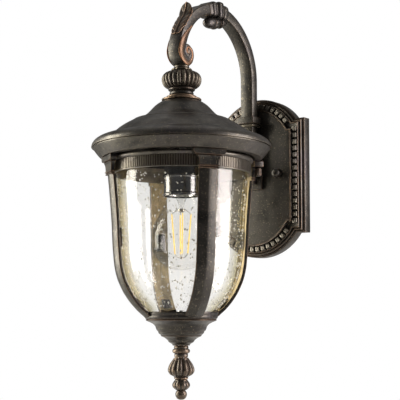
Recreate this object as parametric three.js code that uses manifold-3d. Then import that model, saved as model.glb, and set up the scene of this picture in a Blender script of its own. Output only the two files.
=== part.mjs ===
// Outdoor wall lantern: a shouldered wall plate, a crook arm and a four-ribbed bell of seeded glass.
// Millimetres, +Z up. The origin is on the wall, behind the middle of the plate. The room is toward -Y.
import * as THREE from 'three';
import { mergeVertices } from 'three/addons/utils/BufferGeometryUtils.js';
import Module from 'manifold-3d';

const wasm = await Module();
wasm.setup();

// ---------- driving dimensions ----------
const projection = 146; // wall to the lantern's axis
const cupRimHeight = -148; // where the ribs stand on the bottom cup, the lantern's own zero height
const clearance = 0.3; // between pieces that touch
const fine = 30; // segments round the large turned pieces
const medium = 18; // segments round the middle-sized turned pieces
const coarse = 10; // segments round small fasteners

const plate = {
  halfWidth: 59.5, panelHalfWidth: 45.7, shoulder: 59.9, panelShoulder: 50.6,
  arcRadius: 59.7, panelArcRadius: 48, arcCentre: 26, depth: 19, sideDepth: 10.5, wall: 2,
};
const bar = { length: 92, height: 18, thickness: 2.5, level: 2 };
const studX = 31.6; // the two cap nuts, either side of the arm
const studRadius = 2.5;
const armScrewRadius = 2;
const armScrewLevels = [2, 20];

const arm = {
  width: 15.3, outer: 68.5, inner: 57.3, centreY: -90, centreZ: 102, bevel: 1.6,
  scrollAngle: 170.7, scrollRadius: 14, footLow: -8, footHigh: 26,
};
const armFlange = { halfWidth: 13, low: -14, high: 32, thickness: 3 }; // foot that the arm screws pull on
const knuckle = { from: 78, to: 105.5, proud: 1.8, width: 19 };
const nippleRadius = 5;
const boreRadius = nippleRadius + clearance + 0.1;

const ribAzimuths = [58, 148, 238, 328]; // degrees from -Y toward +X
const rib = { width: 15.5, thickness: 3.4 };
const bandFace = 71; // radius where a rib's head and corbel start, just clear of the band
const ribHead = { halfWidth: 15.5, radius: 75.4, low: 146.9, high: 152.6 };
const ribCorbel = { halfWidth: 11, radius: 74.5, low: 138 };
const ribNeckWidth = 18;
const glassWall = 2.2;
const glassInset = 5.6; // from a rib's outer face to the glass
const pad = { width: 9, gap: 0.35 };
const screwRibs = [1, 2]; // the two ribs on the wall side carry the thumb screws
const lug = { offset: -14.6, radius: 76.4, reach: 4 }; // ear on a rib's head for a thumb screw
const screwHole = 2.1;

const degrees = Math.PI / 180;

// ---------- finishes ----------
const finishes = {
  bronze: { color: 0x3b322b, roughness: 0.55, metalness: 0.85 },
  copper: { color: 0x8a5a3c, roughness: 0.45, metalness: 0.9 },
  zinc: { color: 0xa9abad, roughness: 0.4, metalness: 0.95 },
  brass: { color: 0xb08d4a, roughness: 0.35, metalness: 0.95 },
  groundGreen: { color: 0x2f7a45, roughness: 0.45, metalness: 0.6 },
  phenolic: { color: 0x1c1b1a, roughness: 0.6, metalness: 0 },
  rubber: { color: 0x141312, roughness: 0.85, metalness: 0 },
  seededGlass: { color: 0xefe9da, roughness: 0.08, metalness: 0, transparent: true, opacity: 0.3 },
  clearGlass: { color: 0xf6f6f4, roughness: 0.03, metalness: 0, transparent: true, opacity: 0.25 },
  aluminium: { color: 0xc9c9c6, roughness: 0.35, metalness: 0.95 },
  phosphor: { color: 0xe8c440, roughness: 0.6, metalness: 0 },
};

// ---------- small tools ----------
const points = (pairs) => pairs.map(([x, y]) => new THREE.Vector2(x, y));

function piece(name, geometry, finish, parent) {
  const mesh = new THREE.Mesh(geometry, new THREE.MeshStandardMaterial(finishes[finish]));
  mesh.name = name;
  parent.add(mesh);
  return mesh;
}

// Turned piece about Z. The outline is a list of [radius, height]; one that leaves the axis is closed.
function turned(pairs, segments) {
  const outline = points(pairs);
  const last = outline[outline.length - 1];
  if (outline[0].x > 0 || last.x > 0) outline.push(outline[0].clone());
  if (THREE.ShapeUtils.area(outline) < 0) outline.reverse();
  const geometry = new THREE.LatheGeometry(outline, segments);
  geometry.rotateX(Math.PI / 2);
  return geometry;
}

// Turned piece with lobes cut round it, left round inside the core radius.
function gadrooned(pairs, lobes, depth, core) {
  const geometry = turned(pairs, lobes * 2);
  const position = geometry.getAttribute('position');
  for (let i = 0; i < position.count; i += 1) {
    const x = position.getX(i);
    const y = position.getY(i);
    const radius = Math.hypot(x, y);
    if (radius > core) {
      const valley = 0.5 - 0.5 * Math.cos(Math.atan2(y, x) * lobes);
      const scale = 1 - (depth * valley) / radius;
      position.setXY(i, x * scale, y * scale);
    }
  }
  return geometry;
}

// Moves an outline sideways by a distance, to the left of its direction of travel.
function offset(pairs, distance) {
  return pairs.map(([x, y], i) => {
    const [ax, ay] = pairs[Math.max(i - 1, 0)];
    const [bx, by] = pairs[Math.min(i + 1, pairs.length - 1)];
    const length = Math.hypot(bx - ax, by - ay);
    return [x - ((by - ay) / length) * distance, y + ((bx - ax) / length) * distance];
  });
}

function solid(geometry) {
  const bare = geometry.index ? geometry.toNonIndexed() : geometry.clone();
  bare.deleteAttribute('normal');
  bare.deleteAttribute('uv');
  const merged = mergeVertices(bare, 1e-4);
  const source = merged.index.array;
  const triVerts = [];
  for (let i = 0; i < source.length; i += 3) {
    const [a, b, c] = [source[i], source[i + 1], source[i + 2]];
    if (a !== b && b !== c && a !== c) triVerts.push(a, b, c);
  }
  const vertProperties = new Float32Array(merged.getAttribute('position').array);
  return new wasm.Manifold(new wasm.Mesh({ numProp: 3, vertProperties, triVerts: new Uint32Array(triVerts) }));
}

function geometryOf(manifold) {
  const mesh = manifold.getMesh();
  const geometry = new THREE.BufferGeometry();
  const position = new Float32Array(mesh.vertProperties);
  geometry.setAttribute('position', new THREE.BufferAttribute(position, 3));
  geometry.setIndex(new THREE.BufferAttribute(new Uint32Array(mesh.triVerts), 1));
  return geometry;
}

function cut(geometry, tools) {
  return geometryOf(tools.reduce((body, tool) => body.subtract(solid(tool)), solid(geometry)));
}

function join(geometries) {
  return geometryOf(geometries.slice(1).reduce((body, next) => body.add(solid(next)), solid(geometries[0])));
}

// Box between two corners.
function block(low, high) {
  const size = high.map((value, i) => value - low[i]);
  const geometry = new THREE.BoxGeometry(...size);
  geometry.translate(...low.map((value, i) => value + size[i] / 2));
  return geometry;
}

// Rod along Y between two depths.
function rodAlongY(radius, fromY, toY, x, z, segments = coarse) {
  const geometry = new THREE.CylinderGeometry(radius, radius, Math.abs(toY - fromY), segments);
  geometry.translate(x, (fromY + toY) / 2, z);
  return geometry;
}

// Rod along Z between two heights.
function rodAlongZ(radius, low, high, x, y, segments = coarse) {
  const geometry = new THREE.CylinderGeometry(radius, radius, high - low, segments);
  geometry.rotateX(Math.PI / 2);
  geometry.translate(x, y, (low + high) / 2);
  return geometry;
}

// Outline in the plane across the wall (Y, Z), given a width along X about the middle.
function sidewaysSlab(shape, width, { bevel = 0, steps = 14 } = {}) {
  const geometry = new THREE.ExtrudeGeometry(shape, {
    depth: width - 2 * bevel, curveSegments: steps, bevelEnabled: bevel > 0,
    bevelThickness: bevel, bevelSize: bevel, bevelOffset: -bevel, bevelSegments: 1,
  });
  geometry.translate(0, 0, bevel - width / 2);
  const basis = new THREE.Matrix4();
  basis.makeBasis(new THREE.Vector3(0, 1, 0), new THREE.Vector3(0, 0, 1), new THREE.Vector3(1, 0, 0));
  geometry.applyMatrix4(basis);
  return geometry;
}

// Outline in the plane of the wall (X, Z), given a depth toward the room.
function wallSlab(shape, fromDepth, toDepth) {
  const geometry = new THREE.ExtrudeGeometry(shape, {
    depth: toDepth - fromDepth, curveSegments: 10, bevelEnabled: false,
  });
  geometry.translate(0, 0, fromDepth);
  const basis = new THREE.Matrix4();
  basis.makeBasis(new THREE.Vector3(1, 0, 0), new THREE.Vector3(0, 0, 1), new THREE.Vector3(0, -1, 0));
  geometry.applyMatrix4(basis);
  return geometry;
}

// ---------- wall plate and what holds it ----------
// The outline runs from the plate's edge (0) to the raised panel (1).
function plateOutline(inward) {
  const mix = THREE.MathUtils.lerp;
  const half = mix(plate.halfWidth, plate.panelHalfWidth, inward);
  const shoulder = mix(plate.shoulder, plate.panelShoulder, inward);
  const radius = mix(plate.arcRadius, plate.panelArcRadius, inward);
  const start = Math.asin((shoulder - plate.arcCentre) / radius);
  const shape = new THREE.Shape();
  shape.moveTo(half, -shoulder);
  shape.lineTo(half, shoulder);
  shape.absarc(0, plate.arcCentre, radius, start, Math.PI - start, false);
  shape.lineTo(-half, shoulder);
  shape.lineTo(-half, -shoulder);
  shape.absarc(0, -plate.arcCentre, radius, Math.PI + start, 2 * Math.PI - start, false);
  shape.closePath();
  return shape;
}

function backplate() {
  const steps = [[0, plate.sideDepth], [0.28, 14], [0.62, 17], [1, plate.depth]];
  const body = join(steps.map(([inward, depth]) => wallSlab(plateOutline(inward), 0, depth)));
  const studHoles = [-studX, studX].map((x) => rodAlongY(studRadius + clearance, -30, 1, x, bar.level));
  const screwHoles = armScrewLevels.map((z) => rodAlongY(armScrewRadius + clearance, -30, 1, 0, z));
  const wireHole = rodAlongY(3.5, -30, 1, 0, (armScrewLevels[0] + armScrewLevels[1]) / 2);
  const edgeHollow = wallSlab(plateOutline(0.17), -1, plate.sideDepth - plate.wall);
  const panelHollow = wallSlab(plateOutline(1.15), -1, plate.depth - plate.wall);
  return cut(body, [edgeHollow, panelHollow, wireHole, ...studHoles, ...screwHoles]);
}

function slotShape(centreX, halfLength, radius) {
  const shape = new THREE.Shape();
  shape.absarc(centreX + halfLength, bar.level, radius, -Math.PI / 2, Math.PI / 2, false);
  shape.absarc(centreX - halfLength, bar.level, radius, Math.PI / 2, 1.5 * Math.PI, false);
  shape.closePath();
  return shape;
}

function mountingBar() {
  const low = [-bar.length / 2, -bar.thickness, bar.level - bar.height / 2];
  const high = [bar.length / 2, 0, bar.level + bar.height / 2];
  const slots = [-40.5, 40.5].map((x) => wallSlab(slotShape(x, 1.6, 2.3), -1, 5));
  const studHoles = [-studX, studX].map((x) => rodAlongY(studRadius + clearance, -5, 1, x, bar.level));
  const centreHole = rodAlongY(5.2, -5, 1, 0, bar.level, medium);
  const groundHole = rodAlongY(2.1, -5, 1, 16, bar.level);
  return cut(block(low, high), [centreHole, groundHole, ...slots, ...studHoles]);
}

// Closed nut on a stud: six flats, then a dome, with a blind hole.
function capNut(x) {
  const flats = rodAlongY(5.2, -plate.depth - clearance, -plate.depth - 4.2, 0, 0, 6);
  const dome = turned([[0, 3.4], [4.4, 3.4], [4.4, 5], [3.6, 7], [2, 8.2], [0, 8.6]], coarse);
  dome.rotateX(Math.PI / 2);
  dome.translate(0, -plate.depth, 0);
  const hole = rodAlongY(studRadius + clearance, -plate.depth + 1, -plate.depth - 6, 0, 0);
  const geometry = cut(join([flats, dome]), [hole]);
  geometry.translate(x, 0, bar.level);
  return geometry;
}

function groundScrew() {
  const shank = rodAlongY(1.7, -0.4, -4, 16, bar.level);
  const head = rodAlongY(3.6, -bar.thickness - clearance, -5.2, 16, bar.level);
  return join([shank, head]);
}

function armScrew(level) {
  const headBack = -plate.depth + plate.wall + clearance;
  const head = rodAlongY(4, headBack + 3.2, headBack, 0, level);
  const shank = rodAlongY(armScrewRadius, headBack + 1, -28, 0, level);
  return join([head, shank]);
}

// ---------- arm ----------
// The crook is a band between two arcs; its free end curls under into a scroll that rests on the knob.
function onCrook(radius, angle) {
  return [
    arm.centreY + radius * Math.cos(angle * degrees),
    arm.centreZ + radius * Math.sin(angle * degrees),
  ];
}

function armOutline() {
  const back = arm.centreY + arm.outer;
  const front = arm.centreY + arm.inner;
  const footFace = -plate.depth - clearance;
  const scrollCentre = onCrook(arm.outer - arm.scrollRadius, arm.scrollAngle);
  const innerEnd = 160.6;
  const shape = new THREE.Shape();
  shape.moveTo(footFace, arm.footLow);
  shape.lineTo(footFace, arm.footHigh);
  shape.lineTo(back, arm.footHigh + 4);
  shape.absarc(arm.centreY, arm.centreZ, arm.outer, 0, arm.scrollAngle * degrees, false);
  shape.absarc(...scrollCentre, arm.scrollRadius, arm.scrollAngle * degrees, 275 * degrees, false);
  shape.quadraticCurveTo(-134.5, 98, -134.8, 110);
  shape.quadraticCurveTo(-135.5, 119.5, ...onCrook(arm.inner, innerEnd));
  shape.absarc(arm.centreY, arm.centreZ, arm.inner, innerEnd * degrees, 0, true);
  shape.lineTo(front, arm.footLow + 6);
  shape.lineTo(front + 6, arm.footLow);
  shape.closePath();
  return shape;
}

function wallArm() {
  const footFace = -plate.depth - clearance;
  const crook = sidewaysSlab(armOutline(), arm.width, { bevel: arm.bevel, steps: 20 });
  const flangeLow = [-armFlange.halfWidth, footFace - armFlange.thickness, armFlange.low];
  const flange = block(flangeLow, [armFlange.halfWidth, footFace, armFlange.high]);
  const nippleHole = rodAlongZ(boreRadius, 90, 111, 0, -projection, medium);
  const screwHoles = armScrewLevels.map((z) => rodAlongY(armScrewRadius + clearance, -28.5, -10, 0, z));
  return cut(join([crook, flange]), [nippleHole, ...screwHoles]);
}

// Square band round the upright of the arm, standing proud of it.
function armBand(low, high, proud, backProud) {
  const back = arm.centreY + arm.outer;
  const front = arm.centreY + arm.inner;
  const half = arm.width / 2;
  const outside = block([-half - proud, front - proud, low], [half + proud, back + backProud, high]);
  const insideLow = [-half - clearance, front - clearance, low - 1];
  const inside = block(insideLow, [half + clearance, back + clearance, high + 1]);
  return cut(outside, [inside]);
}

// Part of a ring about the crook's centre, between two angles in degrees.
function crookSector(innerRadius, outerRadius, from, to) {
  const shape = new THREE.Shape();
  shape.absarc(arm.centreY, arm.centreZ, outerRadius, from * degrees, to * degrees, false);
  shape.absarc(arm.centreY, arm.centreZ, innerRadius, to * degrees, from * degrees, true);
  shape.closePath();
  return shape;
}

function knuckleBand() {
  const { from, to, proud, width } = knuckle;
  const middle = (from + to) / 2;
  const steps = 6;
  const low = sidewaysSlab(crookSector(arm.inner - proud, arm.outer + proud, from, to), width, { steps });
  const raised = crookSector(arm.inner - 1, arm.outer + 3, middle - 6, middle + 6);
  const high = sidewaysSlab(raised, width + 2, { steps: 2 });
  const hollow = crookSector(arm.inner - 2 * clearance, arm.outer + 2 * clearance, from - 4, to + 4);
  return cut(join([low, high]), [sidewaysSlab(hollow, arm.width + 2 * clearance, { steps })]);
}

// Bud that hangs under the knuckle and points along the crook, away from the wall.
function knuckleBud() {
  const outline = [[0, -21], [2.4, -19.5], [4.6, -14], [5.4, -8], [4.2, -2], [3.6, 0],
    [5.2, 2], [5.2, 5], [3.4, 7], [2.8, 13], [0, 15.5]];
  const bud = turned(outline, coarse);
  bud.rotateX(-80 * degrees);
  bud.translate(0, -99, 148.2);
  return bud;
}

// Leaf laid over the outer face of the crook, its tip lifting away from the arm.
function armLeaf() {
  const back = arm.outer + clearance;
  const leaf = new THREE.Shape();
  leaf.absarc(arm.centreY, arm.centreZ, back, 174 * degrees, 133 * degrees, true);
  leaf.lineTo(...onCrook(back + 3.5, 127));
  leaf.lineTo(...onCrook(back + 6.6, 126.5));
  leaf.lineTo(...onCrook(back + 3.4, 134));
  leaf.absarc(arm.centreY, arm.centreZ, back + 2, 140 * degrees, 174 * degrees, false);
  leaf.closePath();
  return sidewaysSlab(leaf, 18, { steps: 6 });
}

// ---------- stem, roof and lamp holder, about the lantern's axis ----------
const roofOutline = [
  [20, 210.9], [26.8, 205.9], [31.9, 200], [39.3, 193.9], [48.5, 190.9], [58.8, 184.8], [70.1, 175.7],
  [73, 174], [80.6, 172.5], [86.3, 169.4], [88.5, 166.4], [89.1, 163.5],
];

function roof() {
  const inside = offset(roofOutline, -1.8).reverse();
  inside[0] = [87.2, 163.5];
  return turned([[boreRadius, 210.9], ...roofOutline, ...inside, [boreRadius, 209.1]], fine);
}

function corniceRing() {
  const ring = turned([[72.5, 153], [79.4, 153], [81.5, 154.9], [84.1, 157.8], [87.6, 162.2],
    [87.6, 163.2], [72.5, 163.2]], fine);
  const holes = screwRibs.map((index) => {
    const hole = rodAlongZ(screwHole, 150, 161.6, lug.radius, lug.offset);
    hole.rotateZ((ribAzimuths[index] - 90) * degrees);
    return hole;
  });
  return cut(ring, holes);
}

function roofCap() {
  return turned([[boreRadius, 211.2], [18.8, 211.2], [19.6, 212.2], [19.3, 213.6], [15.5, 214.2],
    [14.8, 215.6], [12.4, 216.6], [boreRadius, 216.6]], fine);
}

function neckSpacer() {
  return turned([[boreRadius, 216.9], [11.3, 216.9], [11.9, 218.7], [11.3, 220.5], [9.5, 221],
    [13.2, 222], [13.2, 223.7], [boreRadius, 223.7]], medium);
}

function melonKnob() {
  const outline = [[boreRadius, 224], [12.5, 224], [16.8, 225.8], [19.3, 229], [19.8, 232.6],
    [19.1, 236.4], [16.5, 239.5], [12, 241], [boreRadius, 241]];
  return gadrooned(outline, 24, 1.3, 14);
}

function cuffRing() {
  return turned([[boreRadius, 241.3], [9, 241.3], [9.6, 243], [9, 244.6], [boreRadius, 244.6]], medium);
}

function stemNipple() {
  return turned([[3.6, 158.6], [nippleRadius, 158.6], [nippleRadius, 258], [3.6, 258]], coarse);
}

function hexNut(acrossCorners, bore, low, high) {
  const nut = new THREE.CylinderGeometry(acrossCorners / 2, acrossCorners / 2, high - low, 6);
  nut.rotateX(Math.PI / 2);
  nut.translate(0, 0, (low + high) / 2);
  return cut(nut, [rodAlongZ(bore, low - 1, high + 1, 0, 0)]);
}

function socketCup() {
  return turned([[16.6, 116], [17.8, 116], [17.8, 156], [14, 160], [boreRadius, 160],
    [boreRadius, 158.8], [13.4, 158.8], [16.6, 155.4]], medium);
}

function socketBody() {
  return turned([[14.8, 117.4], [16.2, 117.4], [16.2, 154.8], [13, 158.2], [3, 158.2], [3, 147],
    [14.8, 147]], medium);
}

function screwShell() {
  return turned([[13.6, 119], [14.4, 119], [14.4, 146.4], [13.6, 146.4]], medium);
}

function centreContact() {
  return turned([[0, 143.6], [4.5, 143.6], [4.5, 146.6], [0, 146.6]], coarse);
}

// ---------- bulb ----------
const bulbOutline = [
  [0, 43.3], [8, 44.3], [15.6, 47.4], [22.5, 53.2], [27.6, 60.8], [30, 70], [29.6, 79], [26.6, 88.4],
  [22, 97], [17.6, 105], [15, 112.5], [12.6, 116.6], [11.8, 119.5],
];

function bulbGlass() {
  const inside = offset(bulbOutline, 1).reverse();
  inside[inside.length - 1] = [0, 44.3];
  return turned([...bulbOutline, ...inside], medium);
}

function bulbCap() {
  return turned([[12.25, 119.8], [12.8, 117.2], [13.1, 119], [13.1, 137], [9.5, 140.4], [4.2, 141],
    [4.2, 139.8], [8.6, 139], [12.25, 136]], medium);
}

function bulbContact() {
  return turned([[0, 140], [3.8, 140], [3.8, 142.6], [2, 143.3], [0, 143.3]], coarse);
}

function bulbStem() {
  return turned([[0, 100], [3, 100.6], [2.4, 104], [4, 112], [8, 119], [10.2, 123], [10.2, 125],
    [0, 125]], coarse);
}

// Straight light strand, leaning out from the foot of the stem.
function filament(index) {
  const length = 40;
  const strand = new THREE.CylinderGeometry(0.9, 0.9, length, 8);
  strand.rotateX(Math.PI / 2);
  strand.rotateY(-5.5 * degrees);
  strand.translate(6.4, 0, 79);
  strand.rotateZ((45 + 90 * index) * degrees);
  return strand;
}

// ---------- cage, which comes down as one to change the bulb ----------
const ribOutline = [
  [71.4, 134.6], [69.8, 117], [68.5, 99.6], [67.3, 76], [66.2, 60], [64.4, 46.5], [61.6, 34.8],
  [57.1, 23], [49.9, 11.3], [41.9, 2.6],
];

function cageBand() {
  return turned([[66, 137], [68.5, 137], [68.5, 148.6], [70.5, 149.2], [70.5, 152.3], [66, 152.3]], fine);
}

// Ribs are made standing at +X. The strap follows the glass, and its head stands in front of the band.
function ribBody(hasScrew) {
  const inside = offset(ribOutline, -rib.thickness).reverse();
  const strap = points([...ribOutline, ...inside]);
  const strapBody = sidewaysSlab(new THREE.Shape(strap), rib.width);
  const neck = points([[68.1, 134.4], [71.4, 134.2], [73, 136], [73, 139], [71, 139], [71, 136.6], [68.1, 136.6]]);
  const neckBody = sidewaysSlab(new THREE.Shape(neck), ribNeckWidth);
  const straightUp = [strapBody, neckBody].map((geometry) => {
    geometry.rotateZ(-Math.PI / 2);
    return geometry;
  });
  const corbelLow = [bandFace, -ribCorbel.halfWidth, ribCorbel.low];
  const corbel = block(corbelLow, [ribCorbel.radius, ribCorbel.halfWidth, ribHead.low + 0.1]);
  const headLow = [bandFace, -ribHead.halfWidth, ribHead.low];
  const head = block(headLow, [ribHead.radius, ribHead.halfWidth, ribHead.high]);
  const plain = join([...straightUp, corbel, head]);
  if (!hasScrew) return plain;
  const earLow = [bandFace, lug.offset - lug.reach, ribHead.low];
  const ear = block(earLow, [lug.radius + lug.reach, lug.offset + lug.reach, ribHead.high]);
  const earHole = rodAlongZ(screwHole, ribHead.low - 1, ribHead.high + 1, lug.radius, lug.offset);
  return cut(join([plain, ear]), [earHole]);
}

// Screw with a round knob under the lug; its tip goes up into the cornice.
function thumbScrew() {
  const outline = [[0, 137.6], [2.4, 137.6], [3.2, 138.4], [3.2, 145.2], [2.6, 146.5],
    [1.7, 146.5], [1.7, 160.6], [0, 160.6]];
  const screw = gadrooned(outline, 8, 0.4, 3);
  screw.rotateZ(9 * degrees);
  return screw;
}

const glassOutline = [
  [65, 148], [65, 134], [64.8, 123], ...offset(ribOutline.slice(2), -glassInset), [34.6, 3.2], [32.4, -0.6],
];

function bellGlass() {
  return turned([...glassOutline, ...offset(glassOutline, -glassWall).reverse()], fine);
}

// Soft block between a rib and the glass, between two heights.
function glassPad(low, high) {
  const at = (outline, height) => {
    const next = outline.findIndex((pair) => pair[1] <= height);
    const [r1, z1] = outline[next - 1];
    const [r2, z2] = outline[next];
    return r1 + ((r2 - r1) * (height - z1)) / (z2 - z1);
  };
  const ribInside = offset(ribOutline, -rib.thickness);
  const half = pad.width / 2;
  const lift = half * half / 120; // the glass curves away from the middle of the pad
  const outline = points([
    [at(ribInside, low) - pad.gap, low], [at(ribInside, high) - pad.gap, high],
    [at(glassOutline, high) + pad.gap, high], [at(glassOutline, low) + pad.gap + lift, low],
  ]);
  const body = sidewaysSlab(new THREE.Shape(outline), pad.width);
  body.rotateZ(-Math.PI / 2);
  return body;
}

function bottomCup() {
  return turned([
    [3.4, -30], [8.6, -30], [13.6, -24.1], [19.1, -21.1], [23.5, -15.2], [27.3, -9.3], [36.5, -4.4],
    [38.1, -0.5], [42, 1.4], [42, 2.2], [37.4, 2.2], [34.6, -1.7], [3.4, -1.7],
  ], fine);
}

function finialCollar() {
  return turned([[3.4, -41.4], [6.6, -41.4], [6.9, -39], [8.1, -37], [8.1, -33.4], [6.4, -32.4],
    [6.4, -30.3], [3.4, -30.3]], medium);
}

function finialUrn() {
  const outline = [[3.4, -62.6], [6.6, -62.6], [6.6, -61], [8.2, -59.5], [12.1, -56.5], [13, -53.6],
    [12.3, -50.6], [11, -47.7], [8.9, -44.7], [7, -41.7], [3.4, -41.7]];
  return gadrooned(outline, 12, 1.4, 8.5);
}

function finialDrop() {
  return turned([[0, -82.3], [2.6, -81.6], [5, -79], [5.5, -76.6], [4.6, -73.6], [4.4, -72.6],
    [7.4, -70.6], [8.6, -68], [7.6, -65.2], [6, -62.9], [0, -62.9]], medium);
}

// ---------- assembly ----------
const fixture = new THREE.Group();
const lantern = new THREE.Group();
lantern.position.set(0, -projection, cupRimHeight);
fixture.add(lantern);

piece('mounting_bar', mountingBar(), 'zinc', fixture);
piece('ground_screw', groundScrew(), 'groundGreen', fixture);
piece('backplate', backplate(), 'bronze', fixture);
[-studX, studX].forEach((x, index) => {
  const stud = rodAlongY(studRadius, -0.4, -plate.depth - 5.5, x, bar.level);
  piece(`bar_stud_${index + 1}`, stud, 'zinc', fixture);
  piece(`cap_nut_${index + 1}`, capNut(x), 'bronze', fixture);
});
armScrewLevels.forEach((level, index) => {
  piece(`arm_screw_${index + 1}`, armScrew(level), 'zinc', fixture);
});

piece('wall_arm', wallArm(), 'bronze', fixture);
piece('arm_leaf', armLeaf(), 'copper', fixture);
piece('arm_collar', armBand(57, 64.5, 3.5, 2), 'bronze', fixture);
piece('arm_collar_bead', armBand(53.6, 56.7, 2, 1.6), 'bronze', fixture);
piece('knuckle_band', knuckleBand(), 'bronze', fixture);
piece('knuckle_bud', knuckleBud(), 'bronze', fixture);

piece('stem_nipple', stemNipple(), 'zinc', lantern);
piece('cuff_ring', cuffRing(), 'bronze', lantern);
piece('melon_knob', melonKnob(), 'bronze', lantern);
piece('neck_spacer', neckSpacer(), 'bronze', lantern);
piece('roof_cap', roofCap(), 'bronze', lantern);
piece('roof', roof(), 'bronze', lantern);
piece('cornice_ring', corniceRing(), 'bronze', lantern);
piece('roof_locknut', hexNut(18, boreRadius, 204.6, 208.7), 'zinc', lantern);
piece('socket_cup', socketCup(), 'bronze', lantern);
piece('socket_body', socketBody(), 'phenolic', lantern);
piece('screw_shell', screwShell(), 'brass', lantern);
piece('centre_contact', centreContact(), 'brass', lantern);

piece('bulb_glass', bulbGlass(), 'clearGlass', lantern);
piece('bulb_cap', bulbCap(), 'aluminium', lantern);
piece('bulb_contact', bulbContact(), 'brass', lantern);
piece('bulb_stem', bulbStem(), 'clearGlass', lantern);
[0, 1, 2, 3].forEach((index) => piece(`filament_${index + 1}`, filament(index), 'phosphor', lantern));

piece('cage_band', cageBand(), 'bronze', lantern);
piece('bell_glass', bellGlass(), 'seededGlass', lantern);
ribAzimuths.forEach((azimuth, index) => {
  const corner = new THREE.Group();
  corner.rotation.z = (azimuth - 90) * degrees;
  lantern.add(corner);
  const hasScrew = screwRibs.includes(index);
  piece(`rib_${index + 1}`, ribBody(hasScrew), 'bronze', corner);
  piece(`glass_pad_${index + 1}`, glassPad(65, 83), 'rubber', corner);
  piece(`foot_pad_${index + 1}`, glassPad(6.2, 15.5), 'rubber', corner);
  if (hasScrew) {
    const screw = piece(`thumb_screw_${screwRibs.indexOf(index) + 1}`, thumbScrew(), 'bronze', corner);
    screw.position.set(lug.radius, lug.offset, 0);
  }
});
piece('bottom_cup', bottomCup(), 'bronze', lantern);
piece('cup_nut', hexNut(11, 3.4, -1.4, 2.4), 'zinc', lantern);
piece('finial_rod', rodAlongZ(3, -60, 4, 0, 0), 'zinc', lantern);
piece('finial_collar', finialCollar(), 'copper', lantern);
piece('finial_urn', finialUrn(), 'bronze', lantern);
piece('finial_drop', finialDrop(), 'bronze', lantern);

export default fixture;
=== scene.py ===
import math
import random

import bmesh
import bpy
import numpy as np
from mathutils import Matrix, Vector


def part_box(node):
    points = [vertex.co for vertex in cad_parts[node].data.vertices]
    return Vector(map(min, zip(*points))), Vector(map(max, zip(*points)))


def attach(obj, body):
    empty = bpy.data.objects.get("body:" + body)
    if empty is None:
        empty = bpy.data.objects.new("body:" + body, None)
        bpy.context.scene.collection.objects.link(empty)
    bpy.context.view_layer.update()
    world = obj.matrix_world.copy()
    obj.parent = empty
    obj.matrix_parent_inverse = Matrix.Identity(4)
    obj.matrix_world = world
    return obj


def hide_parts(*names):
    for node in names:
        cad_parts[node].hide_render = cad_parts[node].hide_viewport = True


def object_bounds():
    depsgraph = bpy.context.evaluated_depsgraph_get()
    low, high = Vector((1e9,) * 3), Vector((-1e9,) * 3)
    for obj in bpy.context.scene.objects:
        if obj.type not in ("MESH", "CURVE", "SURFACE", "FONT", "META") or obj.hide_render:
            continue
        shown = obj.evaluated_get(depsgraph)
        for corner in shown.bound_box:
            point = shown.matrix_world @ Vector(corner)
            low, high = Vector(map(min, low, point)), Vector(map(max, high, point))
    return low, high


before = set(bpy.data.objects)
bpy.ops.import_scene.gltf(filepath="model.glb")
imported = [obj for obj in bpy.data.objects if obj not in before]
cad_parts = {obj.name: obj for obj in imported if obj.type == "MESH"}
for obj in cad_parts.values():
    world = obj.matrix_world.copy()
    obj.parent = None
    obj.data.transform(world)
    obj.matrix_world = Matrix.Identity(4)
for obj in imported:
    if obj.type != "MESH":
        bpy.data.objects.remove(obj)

mm = 0.001
cadLow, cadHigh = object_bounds()
capLow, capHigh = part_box("roof_cap")
lanternX = (capLow.x + capHigh.x) / 2
lanternY = (capLow.y + capHigh.y) / 2
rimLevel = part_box("bottom_cup")[1].z - 2.2 * mm  # the lantern's own zero height, where ribs meet the cup
ribTurns = [-32, 58, 148, 238]  # degrees from +X, one for each rib
bpy.ops.object.select_all(action="DESELECT")
print("frame loaded")


# node helpers

# Links an output into a socket, or writes a number or a colour there.
def feed(socket, value):
    if isinstance(value, bpy.types.NodeSocket):
        socket.id_data.links.new(value, socket)
    elif isinstance(value, tuple):
        socket.default_value = (*value, 1)
    else:
        socket.default_value = value


def noiseFrom(nodes, scale, detail=4.0, rough=0.55, distort=0.0):
    where = nodes.new("ShaderNodeTexCoord")
    noise = nodes.new("ShaderNodeTexNoise")
    feed(noise.inputs["Vector"], where.outputs["Object"])
    feed(noise.inputs["Scale"], scale)
    feed(noise.inputs["Detail"], detail)
    feed(noise.inputs["Roughness"], rough)
    feed(noise.inputs["Distortion"], distort)
    return noise.outputs["Fac"]


def rampFrom(nodes, value, stops):
    ramp = nodes.new("ShaderNodeValToRGB")
    while len(ramp.color_ramp.elements) < len(stops):
        ramp.color_ramp.elements.new(0.5)
    for element, (position, tone) in zip(ramp.color_ramp.elements, stops):
        element.position = position
        element.color = (*tone, 1)
    feed(ramp.inputs["Fac"], value)
    return ramp.outputs["Color"]


def stretchFrom(nodes, value, fromLow, fromHigh, toLow=0.0, toHigh=1.0):
    span = nodes.new("ShaderNodeMapRange")
    feed(span.inputs["Value"], value)
    feed(span.inputs["From Min"], fromLow)
    feed(span.inputs["From Max"], fromHigh)
    feed(span.inputs["To Min"], toLow)
    feed(span.inputs["To Max"], toHigh)
    return span.outputs["Result"]


def mathFrom(nodes, operation, first, second):
    step = nodes.new("ShaderNodeMath")
    step.operation = operation
    step.use_clamp = True
    feed(step.inputs[0], first)
    feed(step.inputs[1], second)
    return step.outputs[0]


def sumFrom(nodes, first, firstShare, second, secondShare):
    return mathFrom(nodes, "ADD", mathFrom(nodes, "MULTIPLY", first, firstShare),
                    mathFrom(nodes, "MULTIPLY", second, secondShare))


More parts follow.
